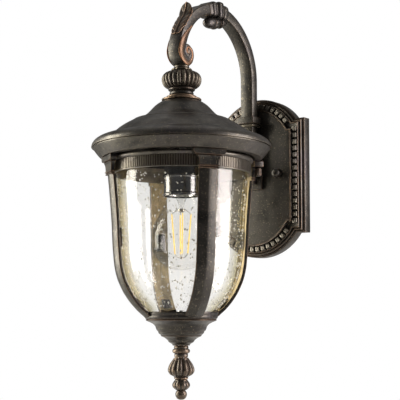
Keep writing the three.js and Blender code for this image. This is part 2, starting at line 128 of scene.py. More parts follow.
def blendFrom(nodes, share, first, second, way="MIX"):
    mix = nodes.new("ShaderNodeMix")
    mix.data_type = "RGBA"
    mix.blend_type = way
    feed(mix.inputs["Factor"], share)
    feed(mix.inputs["A"], first)
    feed(mix.inputs["B"], second)
    return mix.outputs["Result"]


def bumpFrom(nodes, height, strength, distance):
    bump = nodes.new("ShaderNodeBump")
    feed(bump.inputs["Height"], height)
    feed(bump.inputs["Strength"], strength)
    feed(bump.inputs["Distance"], distance * mm)
    return bump.outputs["Normal"]


# camera, floor and light

shot = {"azimuth": 37.0, "rise": 5.15, "place": (0.625, -0.945, -0.148), "lens": 93.15, "shift": 0.0532}
studio = {
    "floorLevel": -0.42, "floorRadius": 1.5, "floorTone": (0.86, 0.86, 0.85),
    "backdrop": 1.0, "roomGlow": 0.20,
    "left": {"side": -1.15, "front": -0.20, "up": 0.10, "width": 0.7, "height": 1.5, "power": 42,
             "tint": (1.0, 0.96, 0.84)},
    "right": {"side": 1.10, "front": 0.20, "up": 0.10, "width": 0.6, "height": 1.5, "power": 34,
              "tint": (1.0, 0.93, 0.92)},
    "top": {"side": 0.0, "front": -0.2, "up": 1.2, "width": 1.2, "height": 1.2, "power": 2.5,
            "tint": (1.0, 0.98, 0.95)},
}


def aim(thing, toward):
    thing.rotation_euler = Vector(toward).to_track_quat("-Z", "Y").to_euler()


def addCamera():
    data = bpy.data.cameras.new("camera")
    camera = bpy.data.objects.new("camera", data)
    bpy.context.scene.collection.objects.link(camera)
    turn = math.radians(shot["azimuth"])
    camera.location = shot["place"]
    aim(camera, (-math.sin(turn), math.cos(turn), math.tan(math.radians(shot["rise"]))))
    data.lens = shot["lens"]
    data.shift_y = shot["shift"]
    data.clip_start = 0.01
    bpy.context.scene.camera = camera


def addSoftbox(name):
    box = studio[name]
    turn = math.radians(shot["azimuth"])
    toRight = Vector((math.cos(turn), math.sin(turn), 0))
    toFront = Vector((math.sin(turn), -math.cos(turn), 0))
    middle = (cadLow + cadHigh) / 2
    data = bpy.data.lights.new("softbox_" + name, "AREA")
    data.shape = "RECTANGLE"
    data.size = box["width"]
    data.size_y = box["height"]
    data.energy = box["power"]
    data.color = box["tint"]
    lamp = bpy.data.objects.new("softbox_" + name, data)
    bpy.context.scene.collection.objects.link(lamp)
    lamp.location = middle + toRight * box["side"] + toFront * box["front"] + Vector((0, 0, box["up"]))
    aim(lamp, middle - lamp.location)


def addRoom():
    world = bpy.data.worlds.new("room")
    world.use_nodes = True
    bpy.context.scene.world = world
    nodes = world.node_tree.nodes
    seen = nodes.new("ShaderNodeLightPath").outputs
    straight = mathFrom(nodes, "MAXIMUM", seen["Is Camera Ray"], seen["Is Transmission Ray"])
    feed(nodes["Background"].inputs["Strength"],
         stretchFrom(nodes, straight, 0.0, 1.0, studio["roomGlow"], studio["backdrop"]))
    feed(nodes["Background"].inputs["Color"], (1, 1, 1))
    bpy.ops.mesh.primitive_circle_add(vertices=96, radius=studio["floorRadius"], fill_type="NGON",
                                      location=(0, 0, studio["floorLevel"]))
    floor = bpy.context.object
    floor.name = "floor"
    paper = bpy.data.materials.new("floor_paper")
    paper.use_nodes = True
    matt = paper.node_tree.nodes["Principled BSDF"]
    feed(matt.inputs["Base Color"], studio["floorTone"])
    feed(matt.inputs["Roughness"], 0.9)
    floor.data.materials.append(paper)


addCamera()
addRoom()
for softbox in ("left", "right", "top"):
    addSoftbox(softbox)
bpy.context.scene.view_settings.view_transform = "Standard"
print("camera, floor and light")


# finishes

def newFinish(name):
    finish = bpy.data.materials.new(name)
    finish.use_nodes = True
    return finish, finish.node_tree.nodes


bronze = {
    "clouds": 26, "patches": 95, "speckle": 620, "flecks": 750,  # a larger scale makes a finer pattern
    "dark": (0.012, 0.01116, 0.01056), "olive": (0.052, 0.04732, 0.03952), "mauve": (0.046, 0.04048, 0.04048),
    "fleck": (0.20, 0.165, 0.115), "grime": (0.026, 0.012, 0.006),
    # where each pattern starts and ends, and how strong it is there
    "darkPatches": (0.35, 0.70, 0.0, 0.55), "oliveSpeckle": (0.56, 0.72, 0.0, 0.55),
    "paleFlecks": (0.62, 0.70, 0.0, 0.6), "rubbedPatches": (0.36, 0.56, 0.35, 1.0),
    "rough": (0.27, 0.45), "grimeRough": 0.25, "grimeShare": 0.8, "bump": 0.38, "bumpHeight": 0.4,
}
copperRub = ((0.20, 0.105, 0.055), (0.34, 0.20, 0.11))
tanRub = ((0.11, 0.09, 0.06), (0.22, 0.185, 0.13))
warmRub = ((0.13, 0.085, 0.055), (0.27, 0.185, 0.12))


# Antique bronze paint: mottled brown and olive over metal, brown in the hollows, rubbed pale on raised edges.
def bronzeFinish(name, rub=0.5, glaze=1.0, grain=1.0, hollows=1.0, tone=(1.0, 1.0, 1.0), wearSpan=(0.3, 1.2),
                 metallic=0.74, rubbed=copperRub):
    finish, nodes = newFinish(name)
    paint = nodes["Principled BSDF"].inputs
    dark, olive, mauve = (tuple(glaze * part for part in bronze[key]) for key in ("dark", "olive", "mauve"))
    clouds = noiseFrom(nodes, bronze["clouds"], 5, 0.6, distort=0.6)
    patches = noiseFrom(nodes, bronze["patches"], 4, 0.65)
    speckle = noiseFrom(nodes, bronze["speckle"], 3, 0.7)
    flecks = noiseFrom(nodes, bronze["flecks"], 2, 0.5)
    wear = nodes.new("ShaderNodeAttribute")
    wear.attribute_name = "wear"
    raised = stretchFrom(nodes, wear.outputs["Fac"], *wearSpan)
    sunken = stretchFrom(nodes, wear.outputs["Fac"], -0.3 * wearSpan[0], -0.6 * wearSpan[1])
    base = rampFrom(nodes, clouds, [(0.32, dark), (0.50, olive), (0.68, mauve)])
    base = blendFrom(nodes, stretchFrom(nodes, patches, *bronze["darkPatches"]), base, dark)
    base = blendFrom(nodes, stretchFrom(nodes, speckle, *bronze["oliveSpeckle"]), base, olive)
    base = blendFrom(nodes, stretchFrom(nodes, flecks, *bronze["paleFlecks"]), base, bronze["fleck"])
    grimy = mathFrom(nodes, "MULTIPLY", sunken, bronze["grimeShare"] * hollows)
    base = blendFrom(nodes, grimy, base, bronze["grime"])
    patchy = stretchFrom(nodes, patches, *bronze["rubbedPatches"])
    worn = mathFrom(nodes, "MULTIPLY", mathFrom(nodes, "MULTIPLY", raised, patchy), rub)
    base = blendFrom(nodes, worn, base, rampFrom(nodes, patches, [(0.35, rubbed[0]), (0.65, rubbed[1])]))
    feed(paint["Base Color"], blendFrom(nodes, 1.0, base, tone, "MULTIPLY"))
    feed(paint["Metallic"], metallic)
    sheen = stretchFrom(nodes, patches, 0.3, 0.7, *bronze["rough"])
    matt = mathFrom(nodes, "MULTIPLY", sunken, bronze["grimeRough"])
    feed(paint["Roughness"], mathFrom(nodes, "ADD", sheen, matt))
    feed(paint["Specular IOR Level"], 0.45)
    cast = sumFrom(nodes, patches, 0.6, speckle, 0.4)
    feed(paint["Normal"], bumpFrom(nodes, cast, bronze["bump"] * grain, bronze["bumpHeight"]))
    return finish


def metalFinish(name, low, high, roughness=0.35, scale=300, metallic=1.0, grain=0.15):
    finish, nodes = newFinish(name)
    metal = nodes["Principled BSDF"].inputs
    film = noiseFrom(nodes, scale, 4, 0.6)
    blotch = noiseFrom(nodes, scale / 8, 3, 0.5)
    tone = rampFrom(nodes, film, [(0.35, low), (0.65, high)])
    feed(metal["Base Color"], blendFrom(nodes, stretchFrom(nodes, blotch, 0.4, 0.7, 0.0, 0.4), tone, low))
    feed(metal["Metallic"], metallic)
    feed(metal["Roughness"], stretchFrom(nodes, film, 0.3, 0.7, roughness * 0.75, roughness * 1.3))
    feed(metal["Normal"], bumpFrom(nodes, film, grain, 0.1))
    return finish


# Glass as a thin clear skin: its tint deepens where it is seen edge on, and so does its mirror.
def glassFinish(name, clear, edge, ripple=0.1, waves=60, faceOn=0.035, edgeOn=0.75):
    finish, nodes = newFinish(name)
    swell = noiseFrom(nodes, waves, 2, 0.5)
    fine = noiseFrom(nodes, waves * 9, 2, 0.5)
    normal = bumpFrom(nodes, sumFrom(nodes, swell, 0.8, fine, 0.2), ripple, 1.0)
    slant = nodes.new("ShaderNodeLayerWeight")
    feed(slant.inputs["Blend"], 0.35)
    feed(slant.inputs["Normal"], normal)
    tint = rampFrom(nodes, slant.outputs["Facing"], [(0.30, clear), (0.95, edge)])
    cloud = stretchFrom(nodes, noiseFrom(nodes, waves / 4, 3, 0.5), 0.35, 0.65, 0.93, 1.0)
    through = nodes.new("ShaderNodeBsdfTransparent")
    feed(through.inputs["Color"], blendFrom(nodes, cloud, tuple(0.9 * part for part in clear), tint))
    mirror = nodes["Principled BSDF"]
    feed(mirror.inputs["Base Color"], (1, 1, 1))
    feed(mirror.inputs["Metallic"], 1.0)
    feed(mirror.inputs["Roughness"], 0.06)
    feed(mirror.inputs["Normal"], normal)
    steep = nodes.new("ShaderNodeLayerWeight")
    feed(steep.inputs["Blend"], 0.5)
    feed(steep.inputs["Normal"], normal)
    shine = mathFrom(nodes, "POWER", steep.outputs["Facing"], 5.0)
    mix = nodes.new("ShaderNodeMixShader")
    feed(mix.inputs["Fac"], stretchFrom(nodes, shine, 0.0, 1.0, faceOn, edgeOn))
    feed(mix.inputs[1], through.outputs["BSDF"])
    feed(mix.inputs[2], mirror.outputs["BSDF"])
    feed(nodes["Material Output"].inputs["Surface"], mix.outputs["Shader"])
    return finish


# A surface whose fine mottle drives its colour, its roughness and its bumps; glow lights it from within.
def mottledFinish(name, low, high, rough, scale=400, detail=4, grain=0.3, height=0.15, shine=0.5, glow=0.0):
    finish, nodes = newFinish(name)
    body = nodes["Principled BSDF"].inputs
    mottle = noiseFrom(nodes, scale, detail, 0.6)
    tone = rampFrom(nodes, mottle, [(0.35, low), (0.65, high)])
    feed(body["Base Color"], tone)
    if glow:
        feed(body["Emission Color"], tone)
        feed(body["Emission Strength"], glow)
    feed(body["Roughness"], stretchFrom(nodes, mottle, 0.3, 0.7, *rough))
    feed(body["Specular IOR Level"], shine)
    feed(body["Normal"], bumpFrom(nodes, mottle, grain, height))
    return finish


castBronze = bronzeFinish("cast_bronze", rub=0.4, glaze=0.75)
bandBronze = bronzeFinish("band_bronze", rub=0.5, glaze=1.6, rubbed=tanRub)
# Brighter, less metallic copies of the bronze for faces that look inward: painted light on the lantern's inner
# faces.
bandPaintedLitInside = bronzeFinish("band_inside_painted_light", rub=0.2, glaze=6.0, tone=(1.0, 0.93, 0.76), metallic=0.3,
                          rubbed=tanRub)
spunBronze = bronzeFinish("spun_bronze", rub=0.45, glaze=1.15, grain=1.2, rubbed=tanRub)
rubbedBronze = bronzeFinish("rubbed_bronze", rub=0.75, glaze=0.9, grain=1.1, wearSpan=(0.08, 0.42),
                            rubbed=warmRub)
rubbedTan = bronzeFinish("rubbed_tan", rub=0.7, glaze=0.8, grain=1.1, wearSpan=(0.10, 0.45), rubbed=tanRub)
copperRidge = bronzeFinish("copper_ridge", rub=0.6, glaze=1.7, tone=(1.0, 0.64, 0.42), wearSpan=(0.12, 0.5),
                           rubbed=((0.20, 0.13, 0.08), (0.36, 0.25, 0.16)))
leafBronze = bronzeFinish("leaf_bronze", rub=0.8, glaze=1.0, grain=0.9, wearSpan=(0.03, 0.25),
                          rubbed=((0.13, 0.075, 0.045), (0.27, 0.165, 0.10)))
# Lighter bead paint: partly rubbed wear on the raised beads, partly a painted highlight.
beadRubAndHighlight = bronzeFinish("bead_rub_and_painted_highlight", rub=0.3, glaze=2.4, grain=0.5, hollows=0.4, rubbed=tanRub)
paintedLitInside = bronzeFinish("inside_painted_light", rub=0.2, glaze=17.0, grain=0.6, tone=(1.0, 0.90, 0.62),
                         metallic=0.15, rubbed=tanRub)
socketSkin = metalFinish("socket_skin", (0.10, 0.10, 0.10), (0.17, 0.17, 0.17), 0.2, scale=120, grain=0.0)
zincPlate = metalFinish("zinc_plate", (0.42, 0.43, 0.44), (0.62, 0.63, 0.64), 0.34)
greenPaint = metalFinish("green_screw_paint", (0.02, 0.17, 0.06), (0.04, 0.30, 0.12), 0.4, metallic=0.5)
plainBrass = metalFinish("plain_brass", (0.42, 0.27, 0.09), (0.66, 0.46, 0.19), 0.3)
bulbCapMetal = metalFinish("bulb_cap_metal", (0.55, 0.55, 0.53), (0.74, 0.73, 0.70), 0.3)
wireMetal = metalFinish("support_wire", (0.36, 0.33, 0.28), (0.55, 0.50, 0.43), 0.3, scale=900)
blackRubber = mottledFinish("black_rubber", (0.008, 0.008, 0.008), (0.022, 0.020, 0.018), (0.64, 0.825),
                            shine=0.3)
blackPhenolic = mottledFinish("black_phenolic", (0.012, 0.011, 0.011), (0.030, 0.028, 0.026), (0.38, 0.495))
seededGlass = glassFinish("seeded_glass", (0.975, 0.972, 0.965), (0.72, 0.66, 0.44), ripple=0.22)
bulbGlass = glassFinish("bulb_glass", (0.985, 0.985, 0.98), (0.96, 0.955, 0.94), ripple=0.008, waves=40,
                        edgeOn=0.4)
mountGlass = glassFinish("mount_glass", (0.90, 0.90, 0.89), (0.52, 0.53, 0.52), ripple=0.01, waves=40)
# Seeds as opaque pale balls: their pale colour is a painted reflection standing in for the light a bubble
# catches.
seedPaintedGlint = mottledFinish("seed_bubble_painted_reflection", (0.58, 0.57, 0.54), (0.84, 0.83, 0.80), (0.15, 0.35), scale=500,
                         detail=2, grain=0.1, height=0.1)
phosphor = mottledFinish("phosphor_strand", (0.80, 0.50, 0.08), (0.95, 0.72, 0.20), (0.5, 0.7), scale=900,
                         detail=3, height=0.1, glow=0.55)
print("finishes")


# making tools

def setEdit(piece, kind="VERT"):
    bpy.ops.object.select_all(action="DESELECT")
    bpy.context.view_layer.objects.active = piece
    piece.select_set(True)
    bpy.ops.object.mode_set(mode="EDIT")
    bpy.ops.mesh.select_mode(type=kind)
    bpy.ops.mesh.select_all(action="DESELECT")


def leaveEdit():
    bpy.ops.object.mode_set(mode="OBJECT")
    return bpy.context.object


def pick(piece, kind, test):
    shape = bmesh.from_edit_mesh(piece.data)
    for part in getattr(shape, kind):
        if test(part):
            part.select_set(True)
    shape.select_flush_mode()
    bmesh.update_edit_mesh(piece.data)


def mergeAndFace():
    bpy.ops.mesh.select_all(action="SELECT")
    bpy.ops.mesh.remove_doubles(threshold=0.00001)
    bpy.ops.mesh.normals_make_consistent(inside=False)


def useModifier(piece, kind, **settings):
    bpy.ops.object.select_all(action="DESELECT")
    bpy.context.view_layer.objects.active = piece
    piece.select_set(True)
    modifier = piece.modifiers.new(kind.lower(), kind)
    for key, value in settings.items():
        setattr(modifier, key, value)
    bpy.ops.object.modifier_apply(modifier=modifier.name)


def softenEdges(piece, width, segments=2, angle=32):
    useModifier(piece, "BEVEL", width=width * mm, segments=segments, limit_method="ANGLE",
                angle_limit=math.radians(angle), use_clamp_overlap=True)


def subdivideSmooth(piece, levels):
    useModifier(piece, "SUBSURF", levels=levels, render_levels=levels)


# Curve through a few points, sampled about every step.
def smoothRun(points, step):
    places = [Vector(p) for p in points]
    ends = [places[0] * 2 - places[1], *places, places[-1] * 2 - places[-2]]
    run = [places[0]]
    for a, b, c, d in zip(ends, ends[1:], ends[2:], ends[3:]):
        count = max(2, round((c - b).length / step))
        for i in range(1, count + 1):
            t = i / count
            run.append(0.5 * (2 * b + (c - a) * t + (2 * a - 5 * b + 4 * c - d) * t * t
                              + (3 * b - a - 3 * c + d) * t * t * t))
    return run


# An outline's lone points are corners, softened by edge; a list inside it is a smooth run.
def softOutline(parts, edge, step):
    line = []
    for part in parts:
        line += smoothRun(part, step) if isinstance(part, list) else [Vector(part)]
    soft = [line[0]]
    for before, here, after in zip(line, line[1:], line[2:]):
        back, ahead = before - here, after - here
        if min(back.length, ahead.length) > 1e-6 and back.angle(ahead) < math.radians(163):
            back *= min(edge, 0.4 * back.length) / back.length
            ahead *= min(edge, 0.4 * ahead.length) / ahead.length
            soft += [here + back, here + 0.25 * (back + ahead), here + ahead]
        else:
            soft.append(here)
    return soft + [line[-1]]


def traceLine(name, places):
    bpy.ops.object.select_all(action="DESELECT")
    bpy.ops.mesh.primitive_plane_add(size=mm)
    piece = bpy.context.object
    piece.name = name
    piece.data.name = name
    bpy.ops.object.mode_set(mode="EDIT")
    bpy.ops.mesh.select_mode(type="VERT")
    bpy.ops.mesh.merge(type="CENTER")
    bpy.ops.transform.translate(value=places[0])
    for here, there in zip(places, places[1:]):
        bpy.ops.mesh.extrude_vertices_move(TRANSFORM_OT_translate={"value": there - here})
    return piece


# Turned about the Z axis from an outline of (radius, height) in millimetres.
def turnPiece(name, parts, steps=96, edge=0.35, step=1.3):
    outline = softOutline(parts, edge, step)
    if outline[0].x > 1e-6 or outline[-1].x > 1e-6:
        outline.append(outline[0])
    piece = traceLine(name, [Vector((p.x, 0, p.y)) * mm for p in outline])
    bpy.ops.mesh.select_all(action="SELECT")
    bpy.ops.mesh.spin(steps=steps, angle=math.tau, center=(0, 0, 0), axis=(0, 0, 1))
    mergeAndFace()
    leaveEdit()
    return piece


# Turned with rounded lobes: valley meridians are drawn in, then the shape is smoothed.
def lobedPiece(name, parts, lobes, depth, core, low, high, step=2.2, levels=2, spread=0.12):
    piece = turnPiece(name, parts, steps=lobes * 4, edge=0.5, step=step)
    setEdit(piece)
    quarter = math.tau / (lobes * 4)
    for offset, share in ((2, 1.0), (1, spread), (3, spread)):
        bpy.ops.mesh.select_all(action="DESELECT")

        def inValley(vertex):
            x, y, z = vertex.co
            turn = round(math.atan2(y, x) / quarter) % 4
            return math.hypot(x, y) > core * mm and low * mm < z < high * mm and turn == offset

        pick(piece, "verts", inValley)
        shrink = 1 - depth * share
        bpy.ops.transform.resize(value=(shrink, shrink, 1), center_override=(0, 0, 0))
    leaveEdit()
    subdivideSmooth(piece, levels)
    return piece


# Round bar along a line of points in metres; sizes are (or grow to) radii in millimetres.
def barAlong(name, places, sizes, sides=3):
    piece = traceLine(name, places)
    leaveEdit()
    bpy.ops.object.convert(target="CURVE")
    curve = bpy.context.object
    radii = sizes if isinstance(sizes, list) else [sizes] * len(places)
    for point, radius in zip(curve.data.splines[0].points, radii):
        point.radius = radius
    curve.data.bevel_depth = mm
    curve.data.bevel_resolution = sides
    curve.data.use_fill_caps = True
    bpy.ops.object.convert(target="MESH")
    piece = bpy.context.object
    piece.name = name
    setEdit(piece)
    mergeAndFace()
    leaveEdit()
    return piece


# Block built upward from sections of (height, half width, depth), its back held at one radius from the axis.
def stackedBlock(name, back, sections):
    bpy.ops.object.select_all(action="DESELECT")
    bpy.ops.mesh.primitive_plane_add(size=mm)
    piece = bpy.context.object
    piece.name = name
    height, half, depth = sections[0]
    bpy.ops.object.mode_set(mode="EDIT")
    bpy.ops.mesh.select_mode(type="FACE")
    bpy.ops.transform.resize(value=(depth, 2 * half, 1), center_override=(0, 0, 0))
    bpy.ops.transform.translate(value=((back + depth / 2) * mm, 0, height * mm))
    for newHeight, newHalf, newDepth in sections[1:]:
        bpy.ops.mesh.extrude_region_move(TRANSFORM_OT_translate={"value": (0, 0, (newHeight - height) * mm)})
        bpy.ops.transform.resize(value=(newDepth / depth, newHalf / half, 1),
                                 center_override=(back * mm, 0, newHeight * mm))
        height, half, depth = newHeight, newHalf, newDepth
    mergeAndFace()
    leaveEdit()
    return piece


def joinPieces(name, parts):
    bpy.ops.object.select_all(action="DESELECT")
    for part in parts:
        part.select_set(True)
    bpy.context.view_layer.objects.active = parts[0]
    if len(parts) > 1:
        bpy.ops.object.join()
    piece = bpy.context.object
    piece.name = name
    piece.data.name = name
    return piece


def copyPiece(piece, name, place=Matrix.Identity(4)):
    twin = piece.copy()
    twin.data = piece.data.copy()
    twin.name = name
    twin.data.name = name
    bpy.context.scene.collection.objects.link(twin)
    twin.data.transform(place)
    if place.determinant() < 0:
        twin.data.flip_normals()
    return twin


def onLantern(turn=0.0):
    return Matrix.Translation((lanternX, lanternY, rimLevel)) @ Matrix.Rotation(math.radians(turn), 4, "Z")


# How sharply each face folds against its neighbours, for rubbed and grimy places (1 = a 0.5 mm radius).
def markWear(piece):
    shape = bmesh.new()
    shape.from_mesh(piece.data)
    fold = {}
    for edge in shape.edges:
        if len(edge.link_faces) == 2:
            fold[edge] = edge.calc_face_angle_signed(0.0) * edge.calc_length()
    values = []
    for face in shape.faces:
        bend = sum(fold.get(edge, 0.0) for edge in face.edges) * 0.5
        values.append(max(-2.0, min(2.0, bend / (face.calc_area() + 1e-12) * 0.5 * mm)))
    shape.free()
    wear = piece.data.attributes.new("wear", "FLOAT", "FACE")
    wear.data.foreach_set("value", np.array(values, np.float32))


def finishPiece(piece, finish, body, replaced=(), place=None, smooth=32):
    if place is not None:
        piece.data.transform(place)
    bpy.ops.object.select_all(action="DESELECT")
    bpy.context.view_layer.objects.active = piece
    piece.select_set(True)
    bpy.ops.object.shade_smooth_by_angle(angle=math.radians(smooth))
    markWear(piece)
    if not piece.data.materials:
        piece.data.materials.append(finish)
    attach(piece, body)
    if replaced:
        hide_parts(*replaced)
    return piece


# wall plate

plate = {
    "halfWidth": 59.5, "shoulder": 61.3, "arcRadius": 59.7, "arcCentre": 27, "side": 10.5, "arcSteps": 40,
    # each step goes in by the first number and up by the second
    "mouldings": [(0.4, 0.2), (0.9, 0.9), (0.15, -1.2), (0.9, 0.0), (0.15, 3.4), (1.3, 0.0), (0.2, -1.7),
                  (0.8, 0.0), (0.2, 3.9), (1.0, 0.0), (0.2, -1.4), (5.6, 0.0), (0.2, 5.0), (1.3, 0.0),
                  (0.2, -1.0), (0.3, 0.4)],
    "edge": 0.22, "rimWall": 2.3, "backHollow": 8.2, "backLedge": 9.5, "panelHollow": 7.6,
}
bead = {
    "inset": 9.0, "width": 5.2, "height": 5.0, "proud": 3.0, "bed": 14.6, "sideCount": 15, "sidePitch": 7.0,
    "arcCount": 14, "arcHalfSpan": 51.0, "slope": 1.3, "rise": 0.2, "lip": 0.4, "dimple": 0.12, "edge": 0.5,
}


def plateLine():
    half, shoulder, radius = plate["halfWidth"], plate["shoulder"], plate["arcRadius"]
    start = math.asin((shoulder - plate["arcCentre"]) / radius)
    top = []
    for i in range(plate["arcSteps"] + 1):
        turn = start + (math.pi - 2 * start) * i / plate["arcSteps"]
        top.append((radius * math.cos(turn), plate["arcCentre"] + radius * math.sin(turn)))
    upper = [(half, shoulder), *top, (-half, shoulder)]
    lower = [(-x, -z) for x, z in upper]
    return upper + lower


def makePlate():
    piece = traceLine("wall_plate", [Vector((x, 0, z)) * mm for x, z in plateLine()])
    bpy.ops.mesh.select_all(action="SELECT")
    bpy.ops.mesh.edge_face_add()
    bpy.ops.mesh.select_mode(type="FACE")
    bpy.ops.mesh.select_all(action="SELECT")
    bpy.ops.mesh.extrude_region_move(TRANSFORM_OT_translate={"value": (0, -plate["side"] * mm, 0)})
    mergeAndFace()
    bpy.ops.mesh.select_all(action="DESELECT")
    pick(piece, "faces", lambda face: face.calc_center_median().y < -10 * mm)
    for inward, upward in plate["mouldings"]:
        bpy.ops.mesh.inset(thickness=inward * mm, depth=upward * mm)
    bpy.ops.mesh.select_all(action="DESELECT")
    pick(piece, "faces", lambda face: face.calc_center_median().y > -0.1 * mm)
    for inward, upward in ((plate["rimWall"], 0), (0.05, -plate["backHollow"]), (plate["backLedge"], 0),
                            (0.05, -plate["panelHollow"])):
        bpy.ops.mesh.inset(thickness=inward * mm, depth=upward * mm)
    leaveEdit()
    softenEdges(piece, plate["edge"])
    return piece


def makeBead():
    bpy.ops.object.select_all(action="DESELECT")
    bpy.ops.mesh.primitive_cube_add(size=mm)
    piece = bpy.context.object
    bpy.ops.object.mode_set(mode="EDIT")
    bpy.ops.transform.resize(value=(bead["width"], 2 * bead["proud"], bead["height"]),
                             center_override=(0, 0, 0))
    bpy.ops.mesh.select_all(action="DESELECT")
    pick(piece, "faces", lambda face: face.normal.y < -0.9)
    bpy.ops.mesh.inset(thickness=bead["slope"] * mm, depth=bead["rise"] * mm)
    bpy.ops.mesh.inset(thickness=bead["lip"] * mm, depth=-bead["dimple"] * mm)
    leaveEdit()
    softenEdges(piece, bead["edge"])
    return piece


def makeBeads():
    first = makeBead()
    radius = plate["arcRadius"] - bead["inset"]
    places = []
    for side in (-1, 1):
        for i in range(bead["sideCount"]):
            z = (i - (bead["sideCount"] - 1) / 2) * bead["sidePitch"]
            places.append((side * (plate["halfWidth"] - bead["inset"]), z, 0))
        for i in range(bead["arcCount"]):
            turn = math.radians((i / (bead["arcCount"] - 1) * 2 - 1) * bead["arcHalfSpan"])
            places.append((side * radius * math.sin(turn),
                           side * (plate["arcCentre"] + radius * math.cos(turn)), turn + math.pi / 2))
    copies = []
    for x, z, turn in places:
        place = Matrix.Translation((x * mm, -bead["bed"] * mm, z * mm)) @ Matrix.Rotation(turn, 4, "Y")
        copies.append(copyPiece(first, "bead", place))
    bpy.data.objects.remove(first)
    beads = joinPieces("plate_beads", copies)
    beads.data.materials.append(beadRubAndHighlight)
    return beads


plateBody = makePlate()
plateBody.data.materials.append(castBronze)
wallPlate = joinPieces("wall_plate", [plateBody, makeBeads()])
finishPiece(wallPlate, castBronze, "fixture", ["backplate"])

nut = {
    "flats": 5.2, "flatsDeep": 3.6, "edge": 0.4,
    "dome": [(0, 3.0), (4.7, 3.0), [(4.7, 3.9), (4.4, 5.8), (3.0, 7.6), (1.4, 8.3), (0, 8.4)]],
}


def makeCapNut(name, box):
    low, high = box
    flatsLine = [(0, 0), (nut["flats"], 0), (nut["flats"], nut["flatsDeep"]), (0, nut["flatsDeep"])]
    flats = turnPiece(name, flatsLine, steps=6, edge=nut["edge"])
    dome = turnPiece(name + "_dome", nut["dome"], steps=40, edge=0.2, step=0.6)
    piece = joinPieces(name, [flats, dome])
    place = (Matrix.Translation(((low.x + high.x) / 2, high.y, (low.z + high.z) / 2))
             @ Matrix.Rotation(math.pi / 2, 4, "X"))
    cadName = name.replace("plate_nut", "cap_nut")
    return finishPiece(piece, castBronze, "fixture", [cadName], place)


makeCapNut("plate_nut_1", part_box("cap_nut_1"))
makeCapNut("plate_nut_2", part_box("cap_nut_2"))
print("wall plate")


# arm

arm = {
    "width": 15.3, "inner": 58.3, "outer": 69.5, "centreY": -91, "centreZ": 103.5, "corner": 1.6, "foot": -8,
    "crookSteps": 60, "stripSteps": 16, "taper": 6, "taperShape": (0.8, 0.5, 1),
    "scrollStart": 169.9, "scrollRadius": 15.2, "scrollStep": 10,
    "slowTurns": 10, "slowShrink": 1.0015, "fastTurns": 17, "fastShrink": 0.936,
}
crookCentre = Vector((0, arm["centreY"], arm["centreZ"])) * mm


def crookPoint(radius, angle, x=0.0):
    turn = math.radians(angle)
    return Vector((x, arm["centreY"] + radius * math.cos(turn),
                   arm["centreZ"] + radius * math.sin(turn))) * mm


scrollCentre = crookPoint(arm["outer"] - arm["scrollRadius"], arm["scrollStart"])


def scrollPoint(radius, angle, x=0.0):
    turn = math.radians(angle)
    return scrollCentre + Vector((x, radius * math.cos(turn), radius * math.sin(turn))) * mm


# A flat face across the arm at the crook's level with the wall side, its corners cut or rounded.
def armSection(name, width, inner, outer, corner, segments=2):
    bpy.ops.object.select_all(action="DESELECT")
    bpy.ops.mesh.primitive_plane_add(size=mm)
    piece = bpy.context.object
    piece.name = name
    bpy.ops.object.mode_set(mode="EDIT")
    bpy.ops.mesh.select_mode(type="VERT")
    bpy.ops.transform.resize(value=(width, outer - inner, 1), center_override=(0, 0, 0))
    bpy.ops.mesh.bevel(offset=corner * mm, segments=segments, affect="VERTICES", offset_type="OFFSET")
    bpy.ops.mesh.select_all(action="SELECT")
    bpy.ops.transform.translate(value=(0, (arm["centreY"] + (inner + outer) / 2) * mm, arm["centreZ"] * mm))
    bpy.ops.mesh.select_mode(type="FACE")
    bpy.ops.mesh.select_all(action="SELECT")
    return piece


def spinCrook(span, steps):
    bpy.ops.mesh.spin(steps=steps, angle=math.radians(span), center=crookCentre, axis=(-1, 0, 0))


def spinScroll(turns, shrink):
    for _ in range(turns):
        bpy.ops.mesh.spin(steps=1, angle=math.radians(arm["scrollStep"]), center=scrollCentre,
                          axis=(-1, 0, 0))
        bpy.ops.transform.resize(value=(1, shrink, shrink), center_override=scrollCentre)


# Turns a part made at the wall side of the crook up to its own angle.
def turnOnCrook(angle):
    return (Matrix.Translation(crookCentre) @ Matrix.Rotation(math.radians(angle), 4, "X")
            @ Matrix.Translation(-crookCentre))


def makeArmBar():
    piece = armSection("arm_bar", arm["width"], arm["inner"], arm["outer"], arm["corner"])
    spinCrook(arm["scrollStart"], arm["crookSteps"])
    spinScroll(arm["slowTurns"], arm["slowShrink"])
    spinScroll(arm["fastTurns"], arm["fastShrink"])
    bpy.ops.mesh.select_all(action="DESELECT")

    def isWallEnd(face):
        return len(face.verts) > 4 and abs(face.normal.z) > 0.9 and face.calc_center_median().y > -40 * mm

    pick(piece, "faces", isWallEnd)
    straight = arm["centreZ"] - arm["foot"] - arm["taper"]
    bpy.ops.mesh.extrude_region_move(TRANSFORM_OT_translate={"value": (0, 0, -straight * mm)})
    bpy.ops.mesh.extrude_region_move(TRANSFORM_OT_translate={"value": (0, 0, -arm["taper"] * mm)})
    armBack = (arm["centreY"] + arm["outer"]) * mm
    bpy.ops.transform.resize(value=arm["taperShape"], center_override=(0, armBack, 0))
    mergeAndFace()
    leaveEdit()
    softenEdges(piece, 0.35)
    return piece


# Long pad or rim that follows the crook's outer face and runs on round the scroll.
def makeArmStrip(name, width, inner, outer, start, scrollTurns, x=0.0, corner=0.5):
    piece = armSection(name, width, inner, outer, corner)
    spinCrook(arm["scrollStart"] - start, arm["stripSteps"])
    leaveEdit()
    piece.data.transform(turnOnCrook(start))
    bpy.ops.object.mode_set(mode="EDIT")
    spinScroll(scrollTurns, arm["slowShrink"])
    leaveEdit()
    piece.data.transform(Matrix.Translation((x * mm, 0, 0)))
    return piece


